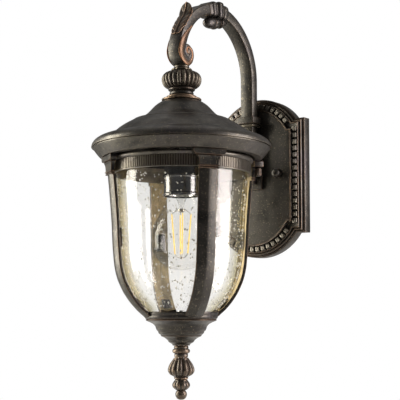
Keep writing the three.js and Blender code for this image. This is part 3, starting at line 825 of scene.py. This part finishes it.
spiral = {
    # (radius, angle) down the crook's side, then round the scroll to its eye
    "down": [(60.0, 142), (61.6, 149), (63.4, 156), (65.2, 163)],
    "round": [(11.9, 172), (12.3, 195), (12.4, 225), (12.2, 262), (10.9, 285), (9.2, 305), (7.6, 330),
              (6.3, 360), (5.2, 400), (4.2, 450), (3.2, 510), (2.2, 580), (1.2, 640)],
    "thin": 0.5, "thick": 3.4, "thickFrom": 0.26, "thinFrom": 0.45, "taper": 2.6, "step": 1.1,
    "flatness": 0.42,
}


# Raised moulding that runs down the arm's side and curls into the scroll's eye.
def makeSideSpiral(name, side):
    face = side * arm["width"] / 2
    route = [crookPoint(radius, angle, face) for radius, angle in spiral["down"]]
    route += [scrollPoint(radius, angle, face) for radius, angle in spiral["round"]]
    places = smoothRun(route, spiral["step"] * mm)
    sizes = []
    for i in range(len(places)):
        share = i / (len(places) - 1)
        swell = (spiral["thick"] - spiral["thin"]) * min(1, share / spiral["thickFrom"])
        shrink = max(0, (share - spiral["thinFrom"]) / (1 - spiral["thinFrom"]))
        sizes.append(spiral["thin"] + swell - spiral["taper"] * shrink ** 0.7)
    piece = barAlong(name, places, sizes, sides=4)
    setEdit(piece)
    bpy.ops.mesh.select_all(action="SELECT")
    bpy.ops.transform.resize(value=(spiral["flatness"], 1, 1), center_override=(face * mm, 0, 0))
    leaveEdit()
    return piece


eye = {
    "half": [[(0, 8.9), (1.4, 8.7), (2.5, 8.1)], (2.9, 7.5), (6.6, 7.3), (7.7, 6.4)],  # from the middle out
    "steps": 40,
}


# Solid eye of the scroll, a drum with a domed button on each side.
def makeScrollEye():
    button, *drum = eye["half"]
    under = [[(r, -z) for r, z in button], *((r, -z) for r, z in drum)]
    outline = [under[0][0], *under, *reversed(drum), list(reversed(button))]
    piece = turnPiece("scroll_eye", outline, steps=eye["steps"], edge=0.3, step=0.7)
    place = Matrix.Translation(scrollCentre) @ Matrix.Rotation(math.pi / 2, 4, "Y")
    return finishPiece(piece, rubbedBronze, "fixture", place=place)


leaf = {
    "base": 158, "tip": 127.2, "halfWidth": 8.9, "thickness": 1.1, "lobes": 5.5, "lobeSlant": 1.15,
    "notch": 0.07, "furrow": 0.5, "midrib": 1.1, "crown": 0.5, "wrapFrom": 6.4, "wrap": 0.8,
    "tipFrom": 0.74, "curlFrom": 0.66, "lift": 7.6, "bed": 1.0,
}


# Acanthus leaf lying on the outer face: lobed edges that wrap the corners, a midrib, veins and a curling tip.
def makeLeaf():
    bpy.ops.object.select_all(action="DESELECT")
    bpy.ops.mesh.primitive_grid_add(x_subdivisions=40, y_subdivisions=100, size=2)
    piece = bpy.context.object
    piece.name = "acanthus_leaf"
    for vertex in piece.data.vertices:
        across, up = vertex.co.x, (vertex.co.y + 1) / 2
        side = abs(across)
        tipRound = math.sqrt(max(0.02, 1 - (max(0, up - leaf["tipFrom"]) / (1 - leaf["tipFrom"])) ** 2.4))
        reach = min(1, 0.55 + 1.6 * up) * tipRound
        lobe = abs(math.sin(math.pi * (leaf["lobes"] * up - leaf["lobeSlant"] * side)))
        width = across * leaf["halfWidth"] * reach * (1 - leaf["notch"] * side * (1 - lobe) ** 1.4)
        wrap = leaf["wrap"] * max(0, abs(width) - leaf["wrapFrom"])
        ends = min(1, 6 * up) * min(1, 5 * (1 - up))
        furrow = leaf["furrow"] * (lobe ** 0.7 - 0.62) * min(1, 2.2 * side) * ends
        midrib = leaf["midrib"] * math.exp(-(width / leaf["midrib"]) ** 2)
        crown = leaf["crown"] * side * (1 - side)
        curl = leaf["lift"] * max(0, (up - leaf["curlFrom"]) / (1 - leaf["curlFrom"])) ** 1.7
        height = leaf["bed"] + furrow + midrib + crown - wrap + curl
        angle = leaf["base"] + (leaf["tip"] - leaf["base"]) * up
        vertex.co = crookPoint(arm["outer"] + height, angle, width)
    useModifier(piece, "SOLIDIFY", thickness=leaf["thickness"] * mm, offset=-1)
    setEdit(piece)
    mergeAndFace()
    leaveEdit()
    subdivideSmooth(piece, 1)
    return piece


collar = {
    "upper": {"low": 57, "high": 64.5, "proud": 3.3, "edge": 0.9},
    "lower": {"low": 53.6, "high": 56.7, "proud": 1.9, "edge": 1.2}, "behind": 2,
}


# Square band round the upright, which reaches a little behind it.
def makeCollar(name, size):
    depth = arm["outer"] - arm["inner"] + size["proud"] + collar["behind"]
    half = arm["width"] / 2 + size["proud"]
    back = arm["centreY"] + arm["outer"] + collar["behind"]
    piece = stackedBlock(name, 0, [(size["low"], half, depth), (size["high"], half, depth)])
    piece.data.transform(Matrix.Translation((0, back * mm, 0)) @ Matrix.Rotation(-math.pi / 2, 4, "Z"))
    softenEdges(piece, size["edge"], segments=3)
    return piece


armBar = makeArmBar()
strips = {
    "cushion": {"width": 8.2, "inner": 67.0, "outer": 69.3, "start": 150, "corner": 0.9},
    "rim": {"width": 1.3, "inner": 67.2, "outer": 69.4, "start": 134, "corner": 0.4},
    "rimSides": (-5.9, 5.9),
}
cushion = makeArmStrip("arm_cushion", scrollTurns=9, **strips["cushion"])
rims = [makeArmStrip("arm_rim", scrollTurns=9, x=x, **strips["rim"]) for x in strips["rimSides"]]
armPiece = joinPieces("wall_arm_bar", [armBar, cushion, *rims])
finishPiece(armPiece, castBronze, "fixture", ["wall_arm"])

flange = {"half": 13, "low": -14, "high": 32, "thick": 3, "face": 19.3, "edge": 1.0}
footPlate = stackedBlock("arm_foot_plate", 0, [(flange["low"], flange["half"], flange["thick"]),
                                               (flange["high"], flange["half"], flange["thick"])])
footPlate.data.transform(Matrix.Translation((0, -flange["face"] * mm, 0))
                         @ Matrix.Rotation(-math.pi / 2, 4, "Z"))
softenEdges(footPlate, flange["edge"], segments=3)
finishPiece(footPlate, castBronze, "fixture")

makeScrollEye()
spirals = joinPieces("scroll_spirals", [makeSideSpiral("scroll_spiral", side) for side in (-1, 1)])
finishPiece(spirals, copperRidge, "fixture")
finishPiece(makeLeaf(), leafBronze, "fixture", ["arm_leaf"])
finishPiece(makeCollar("arm_collar_square", collar["upper"]), castBronze, "fixture",
            ["arm_collar"])
finishPiece(makeCollar("arm_collar_lower", collar["lower"]), rubbedTan, "fixture",
            ["arm_collar_bead"])

knuckle = {
    "start": 77,
    "stations": [(79, 1.5), (80.5, 1.9), (83.5, 1.9), (84.6, 0.8), (86.2, 0.8), (87.2, 2.6), (88.6, 3.2),
                 (92, 3.2), (93.3, 2.6), (94.4, 0.9), (96, 0.9), (97, 2.0), (98.4, 2.3), (101.2, 2.1),
                 (102.4, 1.0), (106, 0.4)],
}


def makeKnuckle():
    piece = armSection("arm_knuckle", arm["width"] + 0.6, arm["inner"] - 0.3, arm["outer"] + 0.3, 2.0)
    angle, grown = knuckle["start"], 0.3
    middle = (arm["inner"] + arm["outer"]) / 2
    for nextAngle, proud in knuckle["stations"]:
        spinCrook(nextAngle - angle, 1)
        wider = (arm["width"] + 2 * proud) / (arm["width"] + 2 * grown)
        deep = arm["outer"] - arm["inner"]
        deeper = (deep + 2 * proud) / (deep + 2 * grown)
        centre = crookPoint(middle, nextAngle - knuckle["start"])
        bpy.ops.transform.resize(value=(wider, deeper, deeper), center_override=centre)
        angle, grown = nextAngle, proud
    mergeAndFace()
    leaveEdit()
    piece.data.transform(turnOnCrook(knuckle["start"]))
    softenEdges(piece, 0.5, segments=2, angle=24)
    return piece


finishPiece(makeKnuckle(), castBronze, "fixture", ["knuckle_band"])

bud = {
    "tilt": -78, "place": (0, -86, 156.4), "lobes": 7, "lobeDepth": 0.10,
    "nose": [(0, -22.5), [(0, -22.5), (3.2, -21.2), (5.2, -17.5), (6.0, -12.5), (5.6, -7), (4, -2)], (0, -2)],
    "cup": [(3.6, -9.0), [(6.4, -9.4), (6.9, -7), (6.6, -3), (5.0, 0.6), (3.9, 2.6)], (3.0, 2.8)],
    "ring": [(0, 2), (4.6, 2), [(4.6, 2.2), (5.9, 3.4), (5.9, 4.8), (4.6, 6)], (3.6, 6.6),
             [(3.6, 6.6), (3.3, 9), (3.1, 13)], (0, 15.5)],
}


# Bud under the knuckle: a smooth nose held in a cup of leaf tips, with a ring at its wall end.
def makeBud():
    nose = turnPiece("bud_nose", bud["nose"], steps=40, edge=0.3)
    cup = lobedPiece("bud_cup", bud["cup"], bud["lobes"], bud["lobeDepth"], core=5, low=-11, high=0, step=1.6)
    ring = turnPiece("bud_ring", bud["ring"], steps=40)
    piece = joinPieces("knuckle_bud_drop", [nose, cup, ring])
    place = Matrix.Translation(Vector(bud["place"]) * mm) @ Matrix.Rotation(math.radians(bud["tilt"]), 4, "X")
    return finishPiece(piece, castBronze, "fixture", ["knuckle_bud"], place)


makeBud()
print("arm")


# stem, roof and cornice

def makeOnLantern(name, parts, finish, replaced, body="fixture", steps=96, edge=0.35, step=1.3):
    piece = turnPiece(name, parts, steps, edge, step)
    return finishPiece(piece, finish, body, replaced, onLantern())


bore = 5.4
cuff = lobedPiece("stem_cuff",
                  [(bore, 241.2), [(9.2, 241.2), (10.6, 242.2), (10.3, 243.6), (8.4, 244.4)], (7.2, 244.5),
                   [(7.4, 245.2), (7.6, 246.2), (6.8, 247)], (bore, 247)],
                  lobes=10, depth=0.10, core=9, low=240, high=244, step=1.2)
finishPiece(cuff, rubbedTan, "fixture", ["cuff_ring"], onLantern())

melon = lobedPiece("stem_melon",
                   [(bore, 224), [(12.3, 224), (15.6, 224.7), (18.4, 227.2), (19.9, 231), (20.0, 233.6),
                                  (18.8, 237), (16.4, 239.4), (12.6, 240.8)], (bore, 240.9)],
                   lobes=24, depth=0.085, core=12.5, low=224.1, high=240.7, step=1.9)
finishPiece(melon, rubbedTan, "fixture", ["melon_knob"], onLantern())

makeOnLantern("stem_neck",
              [(bore, 216.8), [(11.0, 216.8), (12.0, 217.8), (12.0, 219.4), (11.2, 220.4)], (10.4, 220.9),
               [(12.4, 221.4), (13.3, 222.2), (13.3, 223.2), (12.7, 223.8)], (bore, 223.8)],
              castBronze, ["neck_spacer"], step=0.7)
makeOnLantern("roof_cap_discs",
              [(bore, 211.3), (19.2, 211.3), [(19.2, 211.3), (19.9, 212.3), (19.4, 213.3)], (16.2, 213.8),
               [(14.9, 214.2), (15.3, 215.2), (14.6, 216)], (12.2, 216.7), (bore, 216.7)],
              rubbedBronze, ["roof_cap"], step=0.7)
roofParts = [
    (bore, 211.0),
    [(18.4, 211.0), (22.6, 208.6), (26.8, 205.4), (31.9, 200), (35.4, 196.6), (39.6, 193.9), (44.4, 191.9),
     (48.3, 191.0)],
    (49.1, 189.9),
    [(50.4, 189.5), (54.6, 187.2), (58.8, 184.7), (63.2, 181.6), (66.8, 178.4), (69.6, 175.9), (72.2, 174.5)],
    [(74.0, 174.2), (78.5, 173.4), (82.6, 171.9), (86.0, 169.6), (88.2, 166.7), (88.9, 164.4)],
    (89.1, 163.5), (87.4, 163.4),
    [(86.4, 165.6), (84.4, 168), (80, 170.6), (72, 172.6)],
    [(68, 175.2), (61, 180.7), (50, 186.6), (47, 188.4)],
    [(37, 192.6), (29, 199.4), (20, 208.4)],
    (bore, 209.2),
]
makeOnLantern("roof_shell", roofParts, spunBronze, ["roof"], steps=144)
makeOnLantern("cornice_cove",
              [(72.5, 153), (79.3, 153),
               [(79.6, 153.5), (81.6, 155.2), (84.2, 158.2), (86.2, 160.9), (87.2, 162.3)],
               (87.5, 163.1), (72.5, 163.1)],
              spunBronze, ["cornice_ring"], steps=144)
print("stem and roof")


# lamp holder and bulb

makeOnLantern("lamp_socket",
              [(16.4, 116), (17.8, 116), (17.9, 118.4), (17.3, 118.9), (17.3, 134), (17.9, 134.5), (17.9, 137),
               (17.3, 137.5), (17.3, 152), [(17.3, 152.4), (16.4, 156.4), (13.6, 159.6)], (bore, 160),
               (bore, 158.8), (13.2, 158.6), (16.3, 155), (16.4, 130)],
              socketSkin, ["socket_cup"], steps=64)
bulbOuter = [(0, 43.3), (8, 44.3), (15.6, 47.4), (22.5, 53.2), (27.6, 60.8), (29.9, 70), (29.5, 79),
             (26.6, 88.4), (22, 97), (17.6, 105), (14.6, 112.5), (12.7, 118.5)]
makeOnLantern("bulb_envelope", [bulbOuter, (0, 118.5)], bulbGlass, ["bulb_glass"], "bulb",
              steps=80, edge=0.2, step=2.4)
makeOnLantern("bulb_mount",
              [(0, 99.6), [(0, 99.6), (2.0, 100), (2.6, 102), (2.3, 105), (3.4, 110), (6.2, 116), (9.6, 121),
                           (10.6, 125)], (0, 125)],
              mountGlass, ["bulb_stem"], "bulb", steps=40, edge=0.2)
strand = {
    "count": 4, "firstTurn": 45, "pieces": 20, "foot": 6.3, "head": 9.6, "low": 58.8, "high": 98.8,
    "radius": 0.65, "wire": 0.28,
}


def lampPoint(radius, height, turn):
    return Vector((radius * math.cos(turn), radius * math.sin(turn), height)) * mm


wires = []
for index in range(strand["count"]):
    turn = math.radians(strand["firstTurn"] + 360 / strand["count"] * index)
    low = lampPoint(strand["foot"], strand["low"], turn)
    high = lampPoint(strand["head"], strand["high"], turn)
    last = strand["pieces"]
    route = [low.lerp(high, i / last) for i in range(last + 1)]
    swell = [0.55 if i in (0, last) else 1 + 0.05 * math.sin(2.4 * i) for i in range(last + 1)]
    sizes = [strand["radius"] * part for part in swell]
    rod = barAlong(f"bulb_strand_{index + 1}", route, sizes, sides=3)
    finishPiece(rod, phosphor, "bulb", [f"filament_{index + 1}"], onLantern(), smooth=50)
    topRun = [lampPoint(1.2, 103.5, turn), lampPoint(4.4, 102.6, turn), high + Vector((0, 0, -0.5 * mm))]
    footRun = [lampPoint(0, 55.2, turn), lampPoint(3.6, 56.0, turn), low + Vector((0, 0, 0.5 * mm))]
    wires.append(barAlong("top_wire", smoothRun(topRun, 0.8 * mm), strand["wire"], sides=2))
    wires.append(barAlong("foot_wire", smoothRun(footRun, 0.8 * mm), strand["wire"], sides=2))
wires.append(turnPiece("mount_ring", [(2.5, 101.2), (3.5, 101.2), (3.5, 103.6), (2.5, 103.6)], steps=32,
                       edge=0.2))
wires.append(turnPiece("foot_bead", [(0, 54.2), (1.1, 54.6), (1.3, 55.4), (1.1, 56.2), (0, 56.6)], steps=20,
                       edge=0.3))
finishPiece(joinPieces("bulb_supports", wires), wireMetal, "bulb", place=onLantern())
print("bulb")


# cage: band, glass, ribs, pads and cup

flutes = {"count": 180, "low": 137.9, "high": 147.9, "proud": 0.5}


def makeBand():
    section = [(66, 137), (69.1, 137), (69.1, 137.8), (68.4, 137.9), (68.4, 147.9), (69.2, 148.2),
               (70.3, 149.2), [(70.3, 149.2), (70.9, 150.6), (70.3, 152.2)], (66, 152.3)]
    piece = turnPiece("cage_band_ring", section, steps=flutes["count"] * 2, edge=0.12, step=0.9)
    setEdit(piece, "FACE")
    fluteTurn = math.tau / (flutes["count"] * 2)

    def isRidge(face):
        x, y, z = face.calc_center_median()
        tall = flutes["low"] * mm < z < flutes["high"] * mm and face.calc_area() > 5 * mm * mm
        return tall and math.hypot(x, y) > 68 * mm and int(math.floor(math.atan2(y, x) / fluteTurn)) % 2 == 0

    pick(piece, "faces", isRidge)
    bpy.ops.mesh.extrude_region_shrink_fatten(TRANSFORM_OT_shrink_fatten={"value": flutes["proud"] * mm})
    bpy.ops.transform.resize(value=(1, 1, 0.97), center_override=(0, 0, 142.9 * mm))
    leaveEdit()
    return piece


# Faces that look toward the lantern's axis take a brighter copy of the finish: painted light on the lantern's
# inner faces.
def paintLightOnInside(piece, finish, floorHeight=0.0):
    piece.data.materials.append(finish)
    for face in piece.data.polygons:
        x, y, z = face.center
        reach = math.hypot(x, y)
        if reach > 1e-6 and (face.normal.x * x + face.normal.y * y) / reach < -0.45 and z > floorHeight:
            face.material_index = 1


band = makeBand()
band.data.materials.append(bandBronze)
# the band's inward faces get the painted light copy
paintLightOnInside(band, bandPaintedLitInside)
finishPiece(band, bandBronze, "cage", ["cage_band"], onLantern())

glassOuter = [(65, 147.8), (65, 134), (64.8, 123), (62.9, 99.6), (61.7, 76), (60.7, 60), (59, 47.6),
              (56.4, 37), (52.2, 26.2), (45.7, 15.5), (38.2, 7), (34.6, 3.2), (32.6, -0.4)]
glassWall = 2.2


def insideOf(outline, wall):
    inner = []
    for i, point in enumerate(outline):
        before, after = Vector(outline[max(i - 1, 0)]), Vector(outline[min(i + 1, len(outline) - 1)])
        along = (after - before).normalized()
        inner.append((point[0] + along.y * wall, point[1] - along.x * wall))
    return inner


makeOnLantern("bell_glass_seeded", [glassOuter, list(reversed(insideOf(glassOuter, glassWall)))],
              seededGlass, ["bell_glass"], "cage", steps=144, edge=0.5, step=3)

seeds = {"count": 1000, "small": 0.42, "large": 0.95, "low": 6, "high": 134}


def makeSeeds():
    dice = random.Random(11)
    line = smoothRun(glassOuter, 1.0)
    bpy.ops.object.select_all(action="DESELECT")
    bpy.ops.mesh.primitive_uv_sphere_add(segments=8, ring_count=5, radius=0.4 * mm, location=(0, 0, 0))
    first = bpy.context.object
    base = first.data.copy()
    bpy.data.objects.remove(first)
    shape = bmesh.new()
    placed = 0
    while placed < seeds["count"]:
        spot = dice.choice(line)
        turn = dice.uniform(0, math.tau)
        size = seeds["small"] + (seeds["large"] - seeds["small"]) * dice.random() ** 1.5
        stretchUp = dice.uniform(0.9, 1.5)
        if not seeds["low"] < spot.y < seeds["high"]:
            continue
        centre = Vector((spot.x - glassWall / 2, 0, spot.y)) * mm
        place = (Matrix.Rotation(turn, 4, "Z") @ Matrix.Translation(centre)
                 @ Matrix.Diagonal((size / 0.4, size / 0.4, size * stretchUp / 0.4, 1)))
        copy = base.copy()
        copy.transform(place)
        shape.from_mesh(copy)
        bpy.data.meshes.remove(copy)
        placed += 1
    mesh = bpy.data.meshes.new("glass_seeds")
    shape.to_mesh(mesh)
    shape.free()
    piece = bpy.data.objects.new("glass_seeds", mesh)
    bpy.context.scene.collection.objects.link(piece)
    return piece


finishPiece(makeSeeds(), seedPaintedGlint, "cage", place=onLantern(), smooth=80)

rib = {
    "halfWidth": 9.15, "ridge": 1.7, "crownWidth": 0.9, "crownDrop": 0.12, "thick": 3.2, "middle": 76,
    "faceRadius": 71, "reach": 70, "edge": 0.35,
    "line": [(74.6, 135), (73.2, 122), (72.1, 110), (71.1, 98), (70.2, 86), (69.7, 75), (69.0, 63),
             (68.4, 57), (67.0, 45), (63.9, 33), (58.6, 21.6), (54.9, 15.7), (50.5, 9.8), (45.0, 3.8),
             (41.8, 1.0), (39.2, -1.2), (37.0, -3.2)],
    "ledges": [(134.0, 9.6, 3.6), (134.5, 9.9, 4.2), (135.3, 9.9, 4.2), (135.5, 9.3, 3.4),
               (136.1, 9.3, 3.4), (136.4, 10.1, 4.6), (137.3, 10.1, 4.6), (137.6, 9.4, 3.8)],
    "corbelLow": 138.2, "corbelHigh": 146.2, "corbelWidth": (9.5, 12.2), "corbelDepth": (4.0, 5.6),
    "head": [(146.4, 11.6, 4.4), (146.9, 11.6, 4.4), (147.1, 14.2, 6.2), (149.2, 16.0, 6.4),
             (152.3, 16.0, 6.4), (152.6, 15.6, 6.0)],
}


def makeRib():
    line = smoothRun(rib["line"], 2.6)
    strap = traceLine("rib_strap", [Vector((p.x, 0, p.y)) * mm for p in line])
    bpy.ops.mesh.select_all(action="SELECT")
    middle = Vector((0, 0, rib["middle"] * mm))
    crown, fall = rib["crownWidth"], rib["crownDrop"]
    for reach, drop in ((crown, fall), (rib["halfWidth"] - crown, rib["ridge"] - fall)):
        bpy.ops.mesh.extrude_region_move(TRANSFORM_OT_translate={"value": (0, reach * mm, 0)})
        shrink = 1 - drop / rib["reach"]
        bpy.ops.transform.resize(value=(shrink, 1, shrink), center_override=middle)
    leaveEdit()
    useModifier(strap, "MIRROR", use_axis=(False, True, False), use_clip=True, merge_threshold=0.0001)
    setEdit(strap)
    mergeAndFace()
    bpy.ops.mesh.select_mode(type="FACE")
    shape = bmesh.from_edit_mesh(strap.data)
    shape.faces.ensure_lookup_table()
    outward = sum(face.normal.dot(face.calc_center_median() - middle) for face in shape.faces)
    if outward < 0:
        bpy.ops.mesh.flip_normals()
    leaveEdit()
    useModifier(strap, "SOLIDIFY", thickness=rib["thick"] * mm, offset=-1)
    softenEdges(strap, rib["edge"])
    low, high = rib["corbelLow"], rib["corbelHigh"]
    flare = []
    for i in range(9):
        t = i / 8
        lift = 1 - math.sqrt(max(0, 1 - t * t))
        half, depth = (a + (b - a) * lift for a, b in (rib["corbelWidth"], rib["corbelDepth"]))
        flare.append((low + (high - low) * t, half, depth))
    block = stackedBlock("rib_head", rib["faceRadius"], [*rib["ledges"], *flare, *rib["head"]])
    softenEdges(block, 0.25, segments=1)
    return joinPieces("rib", [strap, block])


ear = {
    "back": 71, "beside": 14.6, "edge": 0.8,
    "sections": [(146.9, 4.0, 8.6), (147.3, 4.3, 9.2), (152.2, 4.3, 9.2), (152.6, 4.0, 8.6)],
}


def makeEar():
    piece = stackedBlock("screw_ear", ear["back"], ear["sections"])
    piece.data.transform(Matrix.Translation((0, -ear["beside"] * mm, 0)))
    softenEdges(piece, ear["edge"])
    return piece


firstRib = makeRib()
for index, turn in enumerate(ribTurns):
    parts = [copyPiece(firstRib, f"rib_part_{index}")]
    if index in (1, 2):
        parts.append(makeEar())
    piece = joinPieces(f"cage_rib_{index + 1}", parts)
    piece.data.materials.append(castBronze)
    # the rib's inward faces get the painted light copy
    paintLightOnInside(piece, paintedLitInside, floorHeight=4 * mm)
    finishPiece(piece, castBronze, "cage", [f"rib_{index + 1}"], onLantern(turn))
bpy.data.objects.remove(firstRib)


# A CAD block copied, merged and given soft edges.
def softCopy(node, name, edge, finish, body):
    piece = copyPiece(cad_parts[node], name)
    for key in list(piece.keys()):
        del piece[key]
    piece.parent = None
    piece.data.materials.clear()
    setEdit(piece)
    mergeAndFace()
    bpy.ops.mesh.dissolve_limited(angle_limit=math.radians(4))
    leaveEdit()
    softenEdges(piece, edge, segments=3, angle=25)
    return finishPiece(piece, finish, body, [node])


for index in range(1, 5):
    softCopy(f"glass_pad_{index}", f"side_pad_{index}", 0.45, blackRubber, "cage")
    softCopy(f"foot_pad_{index}", f"bottom_pad_{index}", 0.45, blackRubber, "cage")

knobParts = [
    (0, 137.6), [(0, 137.5), (1.9, 137.7), (2.9, 138.3)], (3.3, 139.2), (3.3, 144.6),
    [(3.2, 145.0), (2.7, 145.9), (2.1, 146.3)], (1.7, 146.5), (1.7, 160.4), (0, 160.5),
]
for index in (1, 2):
    knob = lobedPiece(f"knurled_screw_{index}", knobParts, lobes=16, depth=0.10, core=2.8, low=138.6,
                      high=145.2, step=1.2, levels=1)
    low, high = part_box(f"thumb_screw_{index}")
    place = Matrix.Translation(((low.x + high.x) / 2, (low.y + high.y) / 2, rimLevel))
    finishPiece(knob, castBronze, f"screw_{index}", [f"thumb_screw_{index}"], place)

cupParts = [
    (3.4, -30), [(8.4, -30), (9.0, -28.6), (11.6, -27.0)],
    [(12.2, -26.6), (13.2, -24.9), (16.0, -22.6), (18.6, -21.4)], (19.6, -21.0), (19.8, -19.9),
    [(20.4, -19.4), (21.9, -18.2), (22.6, -16.2)], (23.6, -15.6), (24.2, -14.4),
    [(24.6, -13.6), (25.2, -11.6), (26.8, -9.6)], (27.5, -9.0),
    [(28.2, -8.6), (30.6, -7.4), (33.4, -6.3)], (34.4, -5.8), (34.7, -4.9), (34.0, -4.4), (35.2, -3.8),
    (35.7, -2.4), (35.5, -0.6), (36.0, 0.8), (36.2, 2.2), (35.9, 2.9), (34.9, 2.9), (33.4, -1.4), (3.4, -1.8),
]
makeOnLantern("bottom_cup_turned", cupParts, castBronze, ["bottom_cup"], "cage", steps=112,
              step=0.9)
makeOnLantern("finial_ring",
              [(3.4, -41.5), (6.3, -41.5), [(6.3, -41.5), (6.7, -39.9), (6.5, -38)], (6.6, -37.6),
               [(7.3, -37.4), (8.4, -36.4), (8.6, -35), (8.0, -33.6), (7.2, -33.2)], (6.9, -33),
               (7.2, -31.4), (6.6, -30.3), (3.4, -30.3)],
              rubbedBronze, ["finial_collar"], "cage", steps=56, step=0.6, edge=0.25)
urn = lobedPiece("finial_urn_lobed",
                 [(3.4, -62.5), [(6.4, -62.5), (6.9, -61.6), (6.7, -60.4)],
                  [(7.6, -59.7), (10.8, -58.2), (12.8, -55.6), (13.2, -53), (12.2, -49.6), (10.4, -46.4),
                   (8.4, -43.8), (7.0, -41.8)], (3.4, -41.8)],
                 lobes=12, depth=0.13, core=7.8, low=-60, high=-43.4, step=1.7)
finishPiece(urn, rubbedBronze, "cage", ["finial_urn"], onLantern())
drop = lobedPiece("finial_drop_lobed",
                  [(3.2, -62.8), [(6.0, -62.8), (6.9, -64.2), (8.3, -66.2), (8.8, -68.2), (8.0, -70.4),
                                  (5.4, -72.6)], (4.4, -73.2), (3.2, -73.2)],
                  lobes=10, depth=0.09, core=6, low=-72.4, high=-64, step=1.5)
ball = turnPiece("finial_ball",
                 [(0, -72.6), (3.6, -72.6), [(3.6, -72.8), (4.9, -74.3), (5.6, -76.4), (5.3, -78.9),
                                             (3.8, -81.2), (1.6, -82.2), (0, -82.3)]],
                 steps=40, step=0.7)
finishPiece(joinPieces("finial_drop_and_ball", [drop, ball]), rubbedBronze, "cage",
            ["finial_drop"], onLantern())
print("cage")


# CAD pieces that stay

kept = {
    zincPlate: ["mounting_bar", "bar_stud_1", "bar_stud_2", "arm_screw_1", "arm_screw_2", "stem_nipple",
                "roof_locknut", "cup_nut", "finial_rod"],
    greenPaint: ["ground_screw"], blackPhenolic: ["socket_body"],
    plainBrass: ["screw_shell", "centre_contact", "bulb_contact"], bulbCapMetal: ["bulb_cap"],
}
for finish, names in kept.items():
    for name in names:
        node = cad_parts[name]
        node.data.materials.clear()
        node.data.materials.append(finish)

print("finished")
